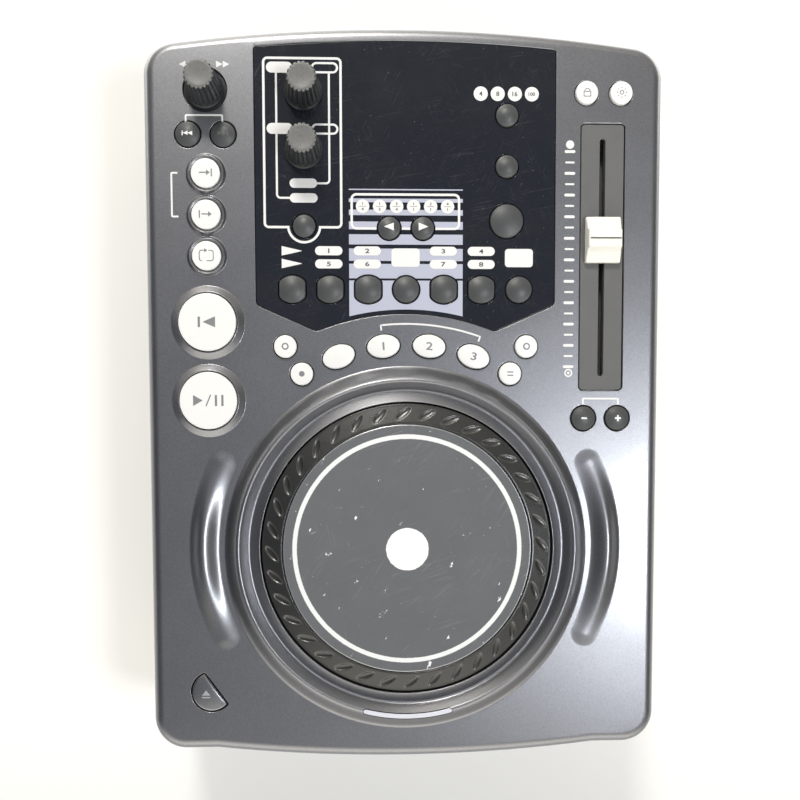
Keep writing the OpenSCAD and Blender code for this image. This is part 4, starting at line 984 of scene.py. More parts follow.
def wall_with_openings(made, c):
    """Side walls with the socket bay and the disc slot. The walls are filled in the plane of
    (distance round the plan, height) and wrapped round the plan afterwards."""
    plan = case_plan(c, 0)
    run, place = wall_map(plan)
    ring = place(np.stack([run, run * 0], 1))
    top, bottom = c.panel_z - c.edge_r, c.seam_z + SEAM_EDGE
    rear = run[np.argmax(ring[:, 1])]
    front = run[np.argmin(ring[:, 1])]
    bay_mid = (c.bay_low + c.bay_high) / 2
    bay = finer(rounded_box((rear, bay_mid), 2 * c.bay_half, c.bay_high - c.bay_low, 2.0, 5), 3)
    slot = finer(rounded_box((front, c.slot_z), 2 * c.slot_half, c.slot_open, c.slot_open / 2 - 0.01, 6), 3)
    edge = np.concatenate([np.stack([run, run * 0 + bottom], 1), np.stack([run, run * 0 + top], 1)[::-1]])
    levels = np.concatenate([[bottom + 0.5], np.linspace(bottom, top, 8)[1:-1]])
    inner = np.stack(np.meshgrid(run[1:-1], levels), -1).reshape(-1, 2)
    bay_lip, slot_lip = 0.8, 1.5
    inner = inner[~inside(inner, [grow(bay, 2)]) & ~inside(inner, [grow(slot, 3)])]
    inner = np.concatenate([inner, grow(bay, bay_lip + 0.6), grow(slot, slot_lip + 0.6)])
    points, faces = fill([edge, grow(bay, bay_lip), grow(slot, slot_lip)], inner)
    made.add(place(points), faces)

    def opening(loop, lip, deep, sign):
        """Rows from the flat deep end to the wall, over a rounded edge."""
        rows = [place(loop)]
        rows[0][:, 1] = deep
        for a in np.linspace(0, math.pi / 2, 6):
            row = place(grow(loop, lip * (1 - math.cos(a))))
            row[:, 1] -= sign * lip * (1 - math.sin(a))
            rows.append(row)
        made.grid(np.array(rows))
    opening(bay, bay_lip, c.bay_y, 1)
    opening(slot, slot_lip, -(box_mm("lower_case")[1][1] - 9), -1)
    points, faces = fill([bay])
    back = place(points)
    back[:, 1] = c.bay_y
    made.add(back, faces)


def upper_shell(c, k, j, d):
    """Top panel with every hole, its rounded edge, the side walls and the seam's lip."""
    z = c.panel_z
    made = Surface()
    fader_low, fader_high = box_mm("fader_plate")
    fader_w, fader_l = (fader_high - fader_low)[:2] + 0.7
    holes = [grow(button_plan(name, k), k.gap) for name in all_buttons()
             if name not in LENS_ROUND + BARREL]
    holes.append(circle(centre_of("search_knob"), k.recess_r))
    holes.append(rounded_box(centre_of("fader_plate"), fader_w, fader_l, 1.9, 6))
    holes.append(display_plan(d, c, 0))
    bowl = circle((0, j.centre_y), j.crest_r + j.wall_w - 1.2, 320)
    made.flat([case_plan(c, c.edge_r)] + [grow(hole, c.hole_lip) for hole in holes] + [bowl], z)
    for hole in holes:
        made.grid(hole_rows(hole, z, z - c.hole_depth, c.hole_lip))
    angles = np.linspace(math.pi / 2, 0, 10)
    made.grid(np.array([lift(case_plan(c, c.edge_r * (1 - math.cos(a))),
                             z - c.edge_r * (1 - math.sin(a))) for a in angles]))
    wall_with_openings(made, c)
    made.grid(np.array([lift(case_plan(c, inset), c.seam_z + rise) for inset, rise in seam_rows(c)]))
    return made


def seam_rows(c):
    """Rounded edge at the seam as [inset, distance from the seam], from the wall inwards."""
    return [(0, SEAM_EDGE), (0.3 * c.seam_lip, 0.2), (c.seam_lip, 0.1), (3, 0.1)]


def ease(u):
    """Smooth rise from 0 to 1."""
    u = np.clip(u, 0, 1)
    return u * u * (3 - 2 * u)


def rim_profile(c, j):
    """Well, lip, ledge, valley, steep inner slope and crest as rounded straight runs, then the
    outer wall, whose height eases down to the panel."""
    valley, crest = c.panel_z + j.crest_h - j.step_h, c.panel_z + j.crest_h
    inner = rounded([(j.ring_r + 0.6, 71), (j.ring_r + 0.6, j.lip_z), (j.valley_r, valley),
                     (j.crest_r - 0.5, crest), (j.crest_r, crest)], (0, 0.3, 1.1, 1.03, 0), 8, False)
    share = np.linspace(0, 1, 48)[1:]
    outer = np.stack([j.crest_r + j.wall_w * share, c.panel_z + 0.02 + j.crest_h * ease(1 - share)], 1)
    return np.concatenate([inner, outer])


def widened(j, radius, angle):
    """Radius on the rim's outer wall, which spreads to a broader slope round the front."""
    spread_out = 1 + j.front_w / j.wall_w * ease((0.2 - np.sin(angle)) / 1.2)
    return radius + np.maximum(radius - j.crest_r, 0) * (spread_out - 1)


def jog_bowl(c, j):
    """The rim's profile carried round the jog wheel's axis."""
    def wobble(radius, height, angle):
        return widened(j, radius, angle), height
    return Surface().turned(rim_profile(c, j), (0, j.centre_y), 320, wobble)


def finger_rib(c, j, side):
    """Raised rib beside the jog wheel. One parameter runs round the capsule outline of the rib
    on its circle, the other from the outline to the crest line. The height eases up from the
    outline to the crest, and the crest eases down towards both ends."""
    cap_turn = math.degrees(j.rib_half / j.rib_r)
    rear, front = 29.2 - cap_turn, cap_turn - 30.5
    outer = arc((0, 0), j.rib_r + j.rib_half, front, rear, 72)
    inner = arc((0, 0), j.rib_r - j.rib_half, rear, front, 72)
    ends = [arc(turned_by([[j.rib_r, 0]], turn)[0], j.rib_half, turn + sweep, turn + sweep + 180, 22)
            for turn, sweep in ((rear, 0), (front, 180))]
    outline = np.concatenate([outer, ends[0][1:-1], inner, ends[1][1:-1]])
    angle = np.degrees(np.arctan2(outline[:, 1], outline[:, 0])).clip(front, rear)
    crest = j.rib_crest * np.stack([np.cos(np.radians(angle)), np.sin(np.radians(angle))], 1)
    from_end = np.minimum(rear - angle, angle - front)
    height = j.rib_h * (0.22 + 0.78 * ease(from_end / 22))
    rows = np.array([lift(outline + (crest - outline) * t, c.panel_z - 0.02 + height * ease(t))
                     for t in np.linspace(1, 0, 20)])
    if side < 0:
        rows = rows[:, ::-1] * (-1, 1, 1)
    rows[..., 1] += j.centre_y
    return Surface().grid(rows)


def collars(c, k):
    """Rings round the cue, play and loop caps: up the bore, over a rounded top and down to a
    hollow foot."""
    made = Surface()
    for name, size in COLLARED.items():
        loop = button_plan(name, k)
        bore = np.linalg.norm(loop[0] - loop.mean(0)) + k.gap
        foot = k.big_collar_r if size == "big" else k.loop_collar_r
        high = k.big_collar_h if size == "big" else k.loop_collar_h
        z = c.panel_z
        if size == "big":
            profile = [(bore, z - 2), (bore, z + high), (bore + 0.35, z + high), (foot - 0.2, z + 0.02),
                       (foot + 0.6, z + 0.02)]
            radii = (0, 0.15, 0.5, 0.5, 0)
        else:
            profile = [(bore, z - 2), (bore, z + high - 0.5), (bore + 0.35, z + high - 0.35),
                       (bore + 0.8, z + high), (foot - 0.9, z + high - 0.15), (foot - 0.1, z + 0.02),
                       (foot + 0.5, z + 0.02)]
            radii = (0, 0.1, 0.1, 0.3, 0.4, 0.4, 0)
        profile = rounded(profile, radii, 6, False)
        made.turned(profile, centre_of(name), 128)
    return made


def lower_shell(c):
    """Base with the seam's lip, its rounded foot, the vents and the screw holes."""
    low, high = box_mm("lower_case")
    floor, base = low[2], c.base_r
    vent_w, vent_l, vent_pitch, vent_count = 3, 40, 8, 10
    field_x, field_y = 60, 59.3
    bore_r, bore_in, bore_back = 3.3, 6.5, 28.7
    made = Surface()
    edge = [(inset, c.seam_z - rise) for inset, rise in seam_rows(c)[::-1]]
    foot = [(base * (1 - math.cos(a)), floor + base * (1 - math.sin(a)))
            for a in np.linspace(0, math.pi / 2, 6)]
    made.grid(np.array([lift(case_plan(c, inset), z) for inset, z in edge + foot]))
    vents = [rounded_box((side * field_x + vent_pitch * (i - (vent_count - 1) / 2), field_y),
                         vent_w, vent_l, 1.4, 5)
             for i in range(vent_count) for side in (-1, 1)]
    bores = [circle((x * (high[0] - bore_in), y * (high[1] - bore_back)), bore_r, 40)
             for x in (-1, 1) for y in (-1, 0, 1)]
    made.flat([case_plan(c, base)] + [grow(hole, 0.3) for hole in vents + bores], floor, down=True)
    for hole, deep in [(v, 3) for v in vents] + [(b, 2.6) for b in bores]:
        made.grid(hole_rows(hole, -floor, -floor - deep, 0.3)[::-1] * (1, 1, -1))
    return made


class PLAYER_OT_case(bpy.types.Operator):
    """Upper and lower shell, bowl, finger ribs, collars and feet"""
    bl_idname = "player.case"
    bl_label = "Case"

    foot_r, foot_hollow = 9.0, 0.7

    def execute(self, context):
        c, k, j, d = (sizes(name) for name in ("case", "controls", "jog", "display"))

        def painted(surface, name, **shading):
            piece(surface, name, "case", case_paint(), "case_paint", ["upper_case"], **shading)
        painted(upper_shell(c, k, j, d), "upper_shell", level=True)
        painted(jog_bowl(c, j), "jog_bowl", sharp=60)
        for side, name in ((-1, "left"), (1, "right")):
            painted(finger_rib(c, j, side), f"finger_rib_{name}")
        painted(collars(c, k), "button_collars", sharp=60)
        base = finish("base_plastic", satin, tone("base"), 0.6, 1.6)
        piece(lower_shell(c), "lower_shell", "case", base, "base_black", ["lower_case"], level=True)
        self.feet()
        self.knob_recess(c, k)
        return {"FINISHED"}

    def feet(self):
        """Round pads, hollow underneath, one in each corner of the feet's box."""
        low, high = box_mm("rubber_feet")
        r, top, hollow = self.foot_r, high[2], self.foot_hollow
        profile = rounded([(r - 0.3, top + 0.3), (r, top - 0.2), (r, 0), (r - 2.4, 0),
                           (r - 3.0, hollow), (0, hollow)], (0, 0.2, 0.8, 0.3, 0.3, 0), 5, False)
        made = Surface()
        for x in (low[0] + r, high[0] - r):
            for y in (low[1] + r, high[1] - r):
                made.turned(profile, (x, y), 64)
        piece(made, "foot_pads", "case", finish("foot_rubber", rubber, (0.018, 0.018, 0.018), 0.75),
              "foot_rubber", ["rubber_feet"])

    def knob_recess(self, c, k):
        """Dark stepped washer on the floor of the recess round the search knob."""
        floor = c.panel_z - k.recess_d
        step, top = floor + 0.2, floor + 0.4
        profile = rounded([(4.2, floor - 2), (4.2, top), (k.recess_r - 0.75, top),
                           (k.recess_r - 0.6, step), (k.recess_r - 0.3, step), (k.recess_r - 0.2, floor),
                           (k.recess_r + 0.1, floor)], (0, 0, 0.12, 0.08, 0.08, 0.05, 0), 4, False)
        piece(Surface().turned(profile, centre_of("search_knob"), 128), "knob_recess_floor", "case",
              finish("washer_rubber", rubber, tone("knob"), 0.45, 0.08), "knob_black", ["upper_case"],
              sharp=60)


# ---------------------------------------------------------------- display panel and its print

class PLAYER_OT_display(bpy.types.Operator):
    """Glossy display panel with its white and lavender print"""
    bl_idname = "player.display"
    bl_label = "Display panel"

    stripe_half = 24.2
    stripes = [(84.9, 83.35), (80.25, 77.95), (75.3, 72.05), (69.95, 65.7), (64.0, 58.85), (57.6, 51.5)]
    last_stripe = 50.6
    fine_line = (88.9, 88.4)
    number_x, number_y = (-32.8, -16.5, 15.9, 32.1), (63.0, 57.5)
    disc_x, disc_y = (31.7, 38.9, 46.2, 53.4), 128.7
    fraction_x = np.linspace(-18.39, 17.7, 6)

    def execute(self, context):
        c, k, d = (sizes(name) for name in ("case", "controls", "display"))
        holes = [grow(button_plan(name, k), k.gap) for name in LENS_ROUND + BARREL]
        knobs = [circle(centre_of(name), 4.2, 48) for name in ("time_knob", "ratio_knob")]
        panel = plate(display_plan(d, c, d.gap), holes + knobs, d.top_z, d.floor_z, 0.2)
        piece(panel, "display_panel", "case", finish("gloss_panel", gloss_print, tone("lens")),
              "lens_black", ["display_lens"], level=True)
        rims = [grow(hole, 0.2) for hole in holes]
        self.lavender(d, rims)
        self.frames(d, rims)
        return {"FINISHED"}

    def lavender(self, d, rims):
        """Six stripes and a broad field that ends in an arc round the jog wheel."""
        half = self.stripe_half
        loops = [np.array([(-half, low), (half, low), (half, high), (-half, high)])
                 for high, low in self.stripes + [self.fine_line]]
        reach = d.arc_r + 1.9
        turn = math.degrees(math.asin(half / reach))
        field = np.concatenate([arc(jog_centre(), reach, 90 + turn, 90 - turn, 32),
                                [(half, self.last_stripe), (-half, self.last_stripe)]])
        made = Surface()
        for loop in loops + [field]:
            self.cut(made, loop, rims, d.top_z + INK_RISE)
        piece(made, "lavender_stripes", "case", finish("lavender_ink", ink, tone("lavender")),
              "lens_black")

    def cut(self, made, loop, rims, z, inner=()):
        """Fills the part of a loop that lies outside the caps' holes and the inner loops."""
        near = [rim for rim in rims if inside(rim, [loop]).any()]
        points, faces = fill_minus(loop, [*near, *inner])
        if len(faces):
            made.laid(points, faces, z)

    def frames(self, d, rims):
        """White frames round the knobs and the screen, and the fields that numerals stand on."""
        white = Surface()
        z = d.top_z + 2 * INK_RISE
        wide, thin = 1.0, 0.85
        bump = arc(centre_of("folder_button"), 6.7, 183.5, 356.5, 30)
        foot_y = bump[0, 1]
        frame = rounded([bump[-1], (-27.4, foot_y), (-27.4, 142.4), (-59.65, 142.4), (-59.65, foot_y)],
                        (0, 1.7, 1.7, 1.7, 1.7), 6)
        knob_frame = np.concatenate([frame, bump[:-1]])
        left = rounded([(-54.4, 136.5), (-54.4, 84.95), (-48.5, 84.95)], (0, 1.5, 0), 6, False)
        right = rounded([(-32.3, 136.5), (-32.3, 91.05), (-38.0, 91.05)], (0, 1.5, 0), 6, False)
        screen = rounded_box((-0.2, 79.5), 45.6, 14.2, 2.0, 8)
        for path in (left, right):
            self.cut(white, stroke(path, thin), rims, z)
        for loop in (knob_frame, screen):
            self.cut(white, grow(loop, wide / 2), rims, z, [grow(loop, -wide / 2)])
        pills = [pill((-53.0, 138.6), 11.0, 4.5), pill((-53.0, 113.55), 11.0, 4.5),
                 pill((-43.3, 91.05), 11.6, 3.9), pill((-43.2, 84.95), 11.7, 3.9)]
        pills += [pill((x, y), 11.6, 3.8) for x in self.number_x for y in self.number_y]
        pills += [rounded_box((x, 60.25), 12.0, 7.7, 1.4) for x in (-0.2, 48.3)]
        pills += [rounded([(-52.7, y + 2.0), (-52.7, y - 2.0), (-43.8, y)], 0.12) for y in (62.9, 57.6)]
        pills += [circle((x, 81.65), 2.85, 48) for x in self.fraction_x]
        pills += [circle((x, self.disc_y), 3.0, 48) for x in self.disc_x]
        for loop in pills:
            white.flat([loop], z + INK_RISE)
        for centre in ((-34.1, 138.6), (-34.1, 113.45)):
            white.flat([pill(centre, 11.4, 4.6), pill(centre, 9.6, 2.9)], z + INK_RISE)
        piece(white, "white_frames", "case", finish("white_ink", ink, tone("white")), "lens_black")
        self.numerals(z + 2 * INK_RISE)

    def numerals(self, z):
        """Plain numbers on the white fields, and the lines of the six fractions."""
        dark = Surface()
        marks = []
        for x, (top, low) in zip(self.fraction_x, ("14", "12", "34", "11", "21", "41")):
            marks += [number(top, (x, 82.75), 1.15), number(low, (x, 80.5), 1.15)]
            dark.flat([stroke([(x - 1.5, 81.63), (x, 81.63), (x + 1.5, 81.63)], 0.16)], z)
        for x, text in zip(self.disc_x, ("4", "8", "16", "100")):
            marks.append(number(text, (x, self.disc_y), 1.9 if len(text) < 3 else 1.5, wide=1.05))
        for i, (x, y) in enumerate((x, y) for y in self.number_y for x in self.number_x):
            marks.append(number(str(i + 1), (x, y), 1.9, wide=1.5))
        for points, faces in marks:
            dark.laid(points, faces, z)
        piece(dark, "dark_numerals", "case", finish("dark_ink", ink, (0.05, 0.05, 0.055)), "lens_black")


class PLAYER_OT_panel_print(bpy.types.Operator):
    """White marks printed on the case"""
    bl_idname = "player.panel_print"
    bl_label = "Panel print"

    def execute(self, context):
        c, j = sizes("case"), sizes("jog")
        z = c.panel_z + INK_RISE
        line = 0.75
        scale_x, centre_y = 69.9, 11.4
        loops = []
        for i, y in enumerate(np.linspace(105.0, 14.1, 21)):
            long = i % 2 == 0
            loops.append(pill((scale_x, y), 4.6 if long else 4.0, 1.2 if long else 0.8))
        loops.append(circle((scale_x, 107.9), 1.75, 40))
        made = Surface()
        made.flat([circle((scale_x + 0.1, centre_y), 1.75, 40), circle((scale_x + 0.1, centre_y), 1.15, 40)],
                  z)
        loops.append(circle((scale_x + 0.1, centre_y), 0.55, 24))
        track = [(-92.1, 116.0), (-92.1, 118.6), (-76.9, 118.7), (-76.9, 116.1)]
        bend = [(76.5, -2.2), (76.5, 0.4), (91.8, 0.3), (91.8, -2.3)]
        seamless = [(-95.9, 94.9), (-98.4, 94.9), (-98.4, 76.9), (-95.7, 76.9)]
        for path in (track, bend, seamless):
            loops.append(stroke(rounded(path, (0, 0.3, 0.3, 0), 4, False), line, False))
        reach, start, stop = 96.0, 90 + 6.5, 90 - 19.3
        bank = arc((0, j.centre_y), reach, start, stop, 40)
        tips = [arc((0, j.centre_y), reach - 2.2, a, a, 1)[:1] for a in (start, stop)]
        loops.append(stroke(np.concatenate([tips[0], bank, tips[1]]), line, False))
        for x in (-93.0, -90.2):
            loops.append(rounded([(x - 1.6, 139.3), (x + 1.2, 137.9), (x + 1.2, 140.7)], 0.15))
        for x in (-78.0, -75.2):
            loops.append(rounded([(x - 1.2, 138.1), (x + 1.6, 139.5), (x - 1.2, 140.9)], 0.15))
        for loop in loops:
            made.flat([loop], z)
        piece(made, "panel_marks", "case", finish("white_ink", ink, tone("white")), "case_paint")
        return {"FINISHED"}


# ---------------------------------------------------------------- buttons

def cap_face(name, k):
    """Height of a cap's crowned face at any point, a hair above it for ink."""
    low, high = box_mm(name)
    centre = centre_of(name)
    dark = name in DARK_ROUND + LENS_ROUND + BARREL
    crown = k.dome if dark else k.crown
    reach = min((high - low)[:2]) / 2 - k.flange - k.bevel
    return lambda p: high[2] + INK_RISE - crown * (((p - centre) ** 2).sum(1) / reach ** 2)


class PLAYER_OT_buttons(bpy.types.Operator):
    """All 33 push buttons with their symbols"""
    bl_idname = "player.buttons"
    bl_label = "Buttons"

    def execute(self, context):
        k = sizes("controls")
        pearl_caps = finish("pearl_caps", pearl, tone("pearl"))
        rubber_caps = finish("rubber_caps", rubber, tone("rubber"), 0.50, 0.12)
        for name in all_buttons():
            dark = name in DARK_ROUND + LENS_ROUND + BARREL + [EJECT]
            top = box_mm(name)[1][2]
            crown, bevel = (k.dome, 0.7) if dark else (k.crown, k.bevel)
            if name == EJECT:
                crown, bevel = 0.1, 1.1
            made = cap(button_plan(name, k), top, crown, bevel, k.cap_foot)
            skin = case_paint() if name == EJECT else rubber_caps if dark else pearl_caps
            piece(made, f"{name}_cap", name, skin, "button_dark" if dark else "button_pearl", [name],
                  sharp=60)
        self.symbols(k)
        return {"FINISHED"}

    def mark(self, name, loops, k, ink_name="grey_ink", numerals=()):
        """Ink on a cap, filled with grid points so that it follows the crown. Loops in a list of
        their own are an outline and its hole."""
        made = Surface()
        face = cap_face(name, k)
        step = 0.8
        for group in loops:
            group = group if isinstance(group, list) else [group]
            group = [finer(loop, step / 2) + centre_of(name) for loop in group]
            made.flat(group, face, extra=spread(group, step))
        for points, faces in numerals:
            made.laid(points, faces, lambda p: face(p) + 0.04)
        tones = {"white_ink": tone("white"), "grey_ink": tone("grey"), "faint_ink": (0.11, 0.11, 0.115)}
        piece(made, f"{name}_mark", name, finish(ink_name, ink, tones[ink_name]),
              "button_dark" if ink_name != "grey_ink" else "button_pearl")

    def symbols(self, k):
        arrow = np.array([(-1.0, -0.9), (1.0, 0.0), (-1.0, 0.9)])
        bar = rounded_box((0, 0), 0.45, 1.9, 0.1)
        back = [bar + (-2.0, 0), -arrow + (-0.75, 0), -arrow + (1.15, 0)]
        self.mark("track_back_button", back, k, "white_ink")
        ahead = [arrow + (-1.15, 0), arrow + (0.75, 0), bar + (2.0, 0)]
        self.mark("track_next_button", ahead, k, "faint_ink")
        big = rounded(arrow * (2.1, 1.85), 0.1)
        self.mark("select_down_button", [-big + (-0.2, 0.4)], k, "white_ink")
        self.mark("select_up_button", [big + (0.2, 0.4)], k, "white_ink")
        play = [rounded([(-6.3, -2.3), (-2.2, 0.0), (-6.3, 2.3)], 0.15),
                stroke([(-0.9, -2.4), (0.1, 0.0), (1.1, 2.4)], 0.55, False),
                rounded_box((3.3, 0), 0.95, 4.7, 0.15), rounded_box((6.0, 0), 0.95, 4.7, 0.15)]
        self.mark("play_button", play, k)
        cue = [rounded_box((-3.4, 0), 1.0, 4.4, 0.15), rounded([(3.4, -2.3), (3.4, 2.3), (-1.9, 0)], 0.15)]
        self.mark("cue_button", cue, k)
        entry = [stroke([(-2.6, 0), (-0.5, 0), (0.6, 0)], 0.5, False),
                 rounded([(0.4, -1.2), (2.0, 0), (0.4, 1.2)], 0.1), rounded_box((2.6, 0), 0.55, 3.2, 0.1)]
        self.mark("loop_in_button", entry, k)
        leave = [rounded_box((-2.6, 0), 0.55, 3.2, 0.1), stroke([(-1.8, 0), (0, 0), (1.2, 0)], 0.5, False),
                 rounded([(1.0, -1.2), (2.6, 0), (1.0, 1.2)], 0.1)]
        self.mark("loop_out_button", leave, k)
        left = rounded([(-1.9, -2.2), (-2.9, -2.2), (-2.9, 2.1), (-0.6, 2.1)], (0, 0.9, 0.9, 0), 5, False)
        right = rounded([(0.9, 2.1), (2.9, 2.1), (2.9, -2.2), (0.2, -2.2)], (0, 0.9, 0.9, 0), 5, False)
        loop = [stroke(left, 0.42, False), stroke(right, 0.42, False),
                rounded([(-0.8, 1.2), (0.5, 2.1), (-0.8, 3.0)], 0.08)]
        self.mark("reloop_button", loop, k)
        for name, inner in (("sampler_button", 0.9), ("effect_button_outer", 0.9)):
            self.mark(name, [[circle((0, 0), 1.5, 40), circle((0, 0), inner, 32)]], k)
        self.mark("memory_button", [circle((0, 0), 1.2, 40)], k)
        self.mark("effect_button_inner", [rounded_box((0, 0.7), 2.6, 0.5, 0.1),
                                          rounded_box((0, -0.7), 2.6, 0.5, 0.1)], k)
        lock = [[rounded_box((0, -0.75), 3.2, 2.3, 0.3), rounded_box((0, -0.75), 2.5, 1.6, 0.2)],
                stroke(arc((0, 0.35), 1.1, 0, 180, 16), 0.32, False)]
        self.mark("tempo_lock_button", lock, k)
        rays = [circle(spot, 0.24, 12) for spot in circle((0, 0), 1.95, 8)]
        self.mark("pitch_switch_button", [[circle((0, 0), 0.95, 32), circle((0, 0), 0.6, 32)]] + rays, k)
        self.mark("pitch_down_button", [rounded_box((0, 0), 2.4, 0.75, 0.15)], k, "white_ink")
        plus = rounded([(-1.3, -.38), (-.38, -.38), (-.38, -1.3), (.38, -1.3), (.38, -.38), (1.3, -.38),
                        (1.3, .38), (.38, .38), (.38, 1.3), (-.38, 1.3), (-.38, .38), (-1.3, .38)], 0.08, 3)
        self.mark("pitch_up_button", [plus], k, "white_ink")
        for i in (1, 2, 3):
            name = f"bank_button_{i}"
            numeral = number(str(i), centre_of(name), 3.3, lean_of(name) * 0.75, 1.35, 0.012)
            self.mark(name, [], k, numerals=[numeral])
        top = box_mm(EJECT)[1][2] + 0.01
        centre = eject_centre(k) + (-2.4, -1.0)
        made = Surface()
        made.flat([rounded([(-1.85, -0.4), (1.85, -0.4), (0, 1.9)], 0.1) + centre], top)
        made.flat([rounded_box((0, -1.25), 3.7, 0.6, 0.1) + centre], top)
        piece(made, "eject_button_mark", EJECT, finish("pale_ink", ink, (0.33, 0.34, 0.36)), "button_dark")


# ---------------------------------------------------------------- knobs

class PLAYER_OT_knobs(bpy.types.Operator):
    """Three fluted knobs"""
    bl_idname = "player.knobs"
    bl_label = "Knobs"

    flutes = 20
    foot_z = {"search_knob": 85.1, "time_knob": 86.3, "ratio_knob": 86.3}

    def execute(self, context):
        k = sizes("controls")
        skin = finish("knob_rubber", knob_skin, tone("knob"), box_mm("time_knob")[1][2])
        for name in KNOBS:
            piece(self.knob(name, k), f"{name}_body", name, skin, "knob_black", [name], sharp=60)
        return {"FINISHED"}

    def knob(self, name, k):
        """Cone on a round skirt. The flutes cut into the cone as a power of a cosine of the
        angle, fade out above the skirt, and notch the rounded edge of the dished top."""
        foot, top = self.foot_z[name], box_mm(name)[1][2]
        flat_r = 0.8 * k.knob_top_r
        dish = np.stack([np.linspace(0, flat_r, 9), top - 0.35 + 0.35 * np.linspace(0, 1, 9) ** 2], 1)
        side = rounded([(flat_r, top), (k.knob_top_r + 0.15, top - 0.1),
                        (k.knob_r - 0.75, foot + 3.0), (k.knob_r - 0.5, foot + 2.1), (k.knob_r, foot + 1.5),
                        (k.knob_r, foot), (3, foot), (3, foot - 4)],
                       (0, 1.0, 2.0, 0.4, 0.35, 0.2, 0, 0), 6, False)
        flank = np.linspace(side[7], side[13], 24)
        profile = np.concatenate([dish, side[:7], flank, side[14:]])

        def flutes(radius, height, angle):
            groove = (0.5 + 0.5 * np.cos(self.flutes * angle)) ** 3.5
            fade = ease((height - foot - 2.6) / 1.2) * ease((top + 0.45 - height) / 1.0)
            edge = np.clip((radius - flat_r) / (k.knob_top_r - flat_r), 0, 1)
            return radius - k.flute * groove * fade * edge, height
        return Surface().turned(profile, centre_of(name), self.flutes * 16, flutes)


# ---------------------------------------------------------------- jog wheel

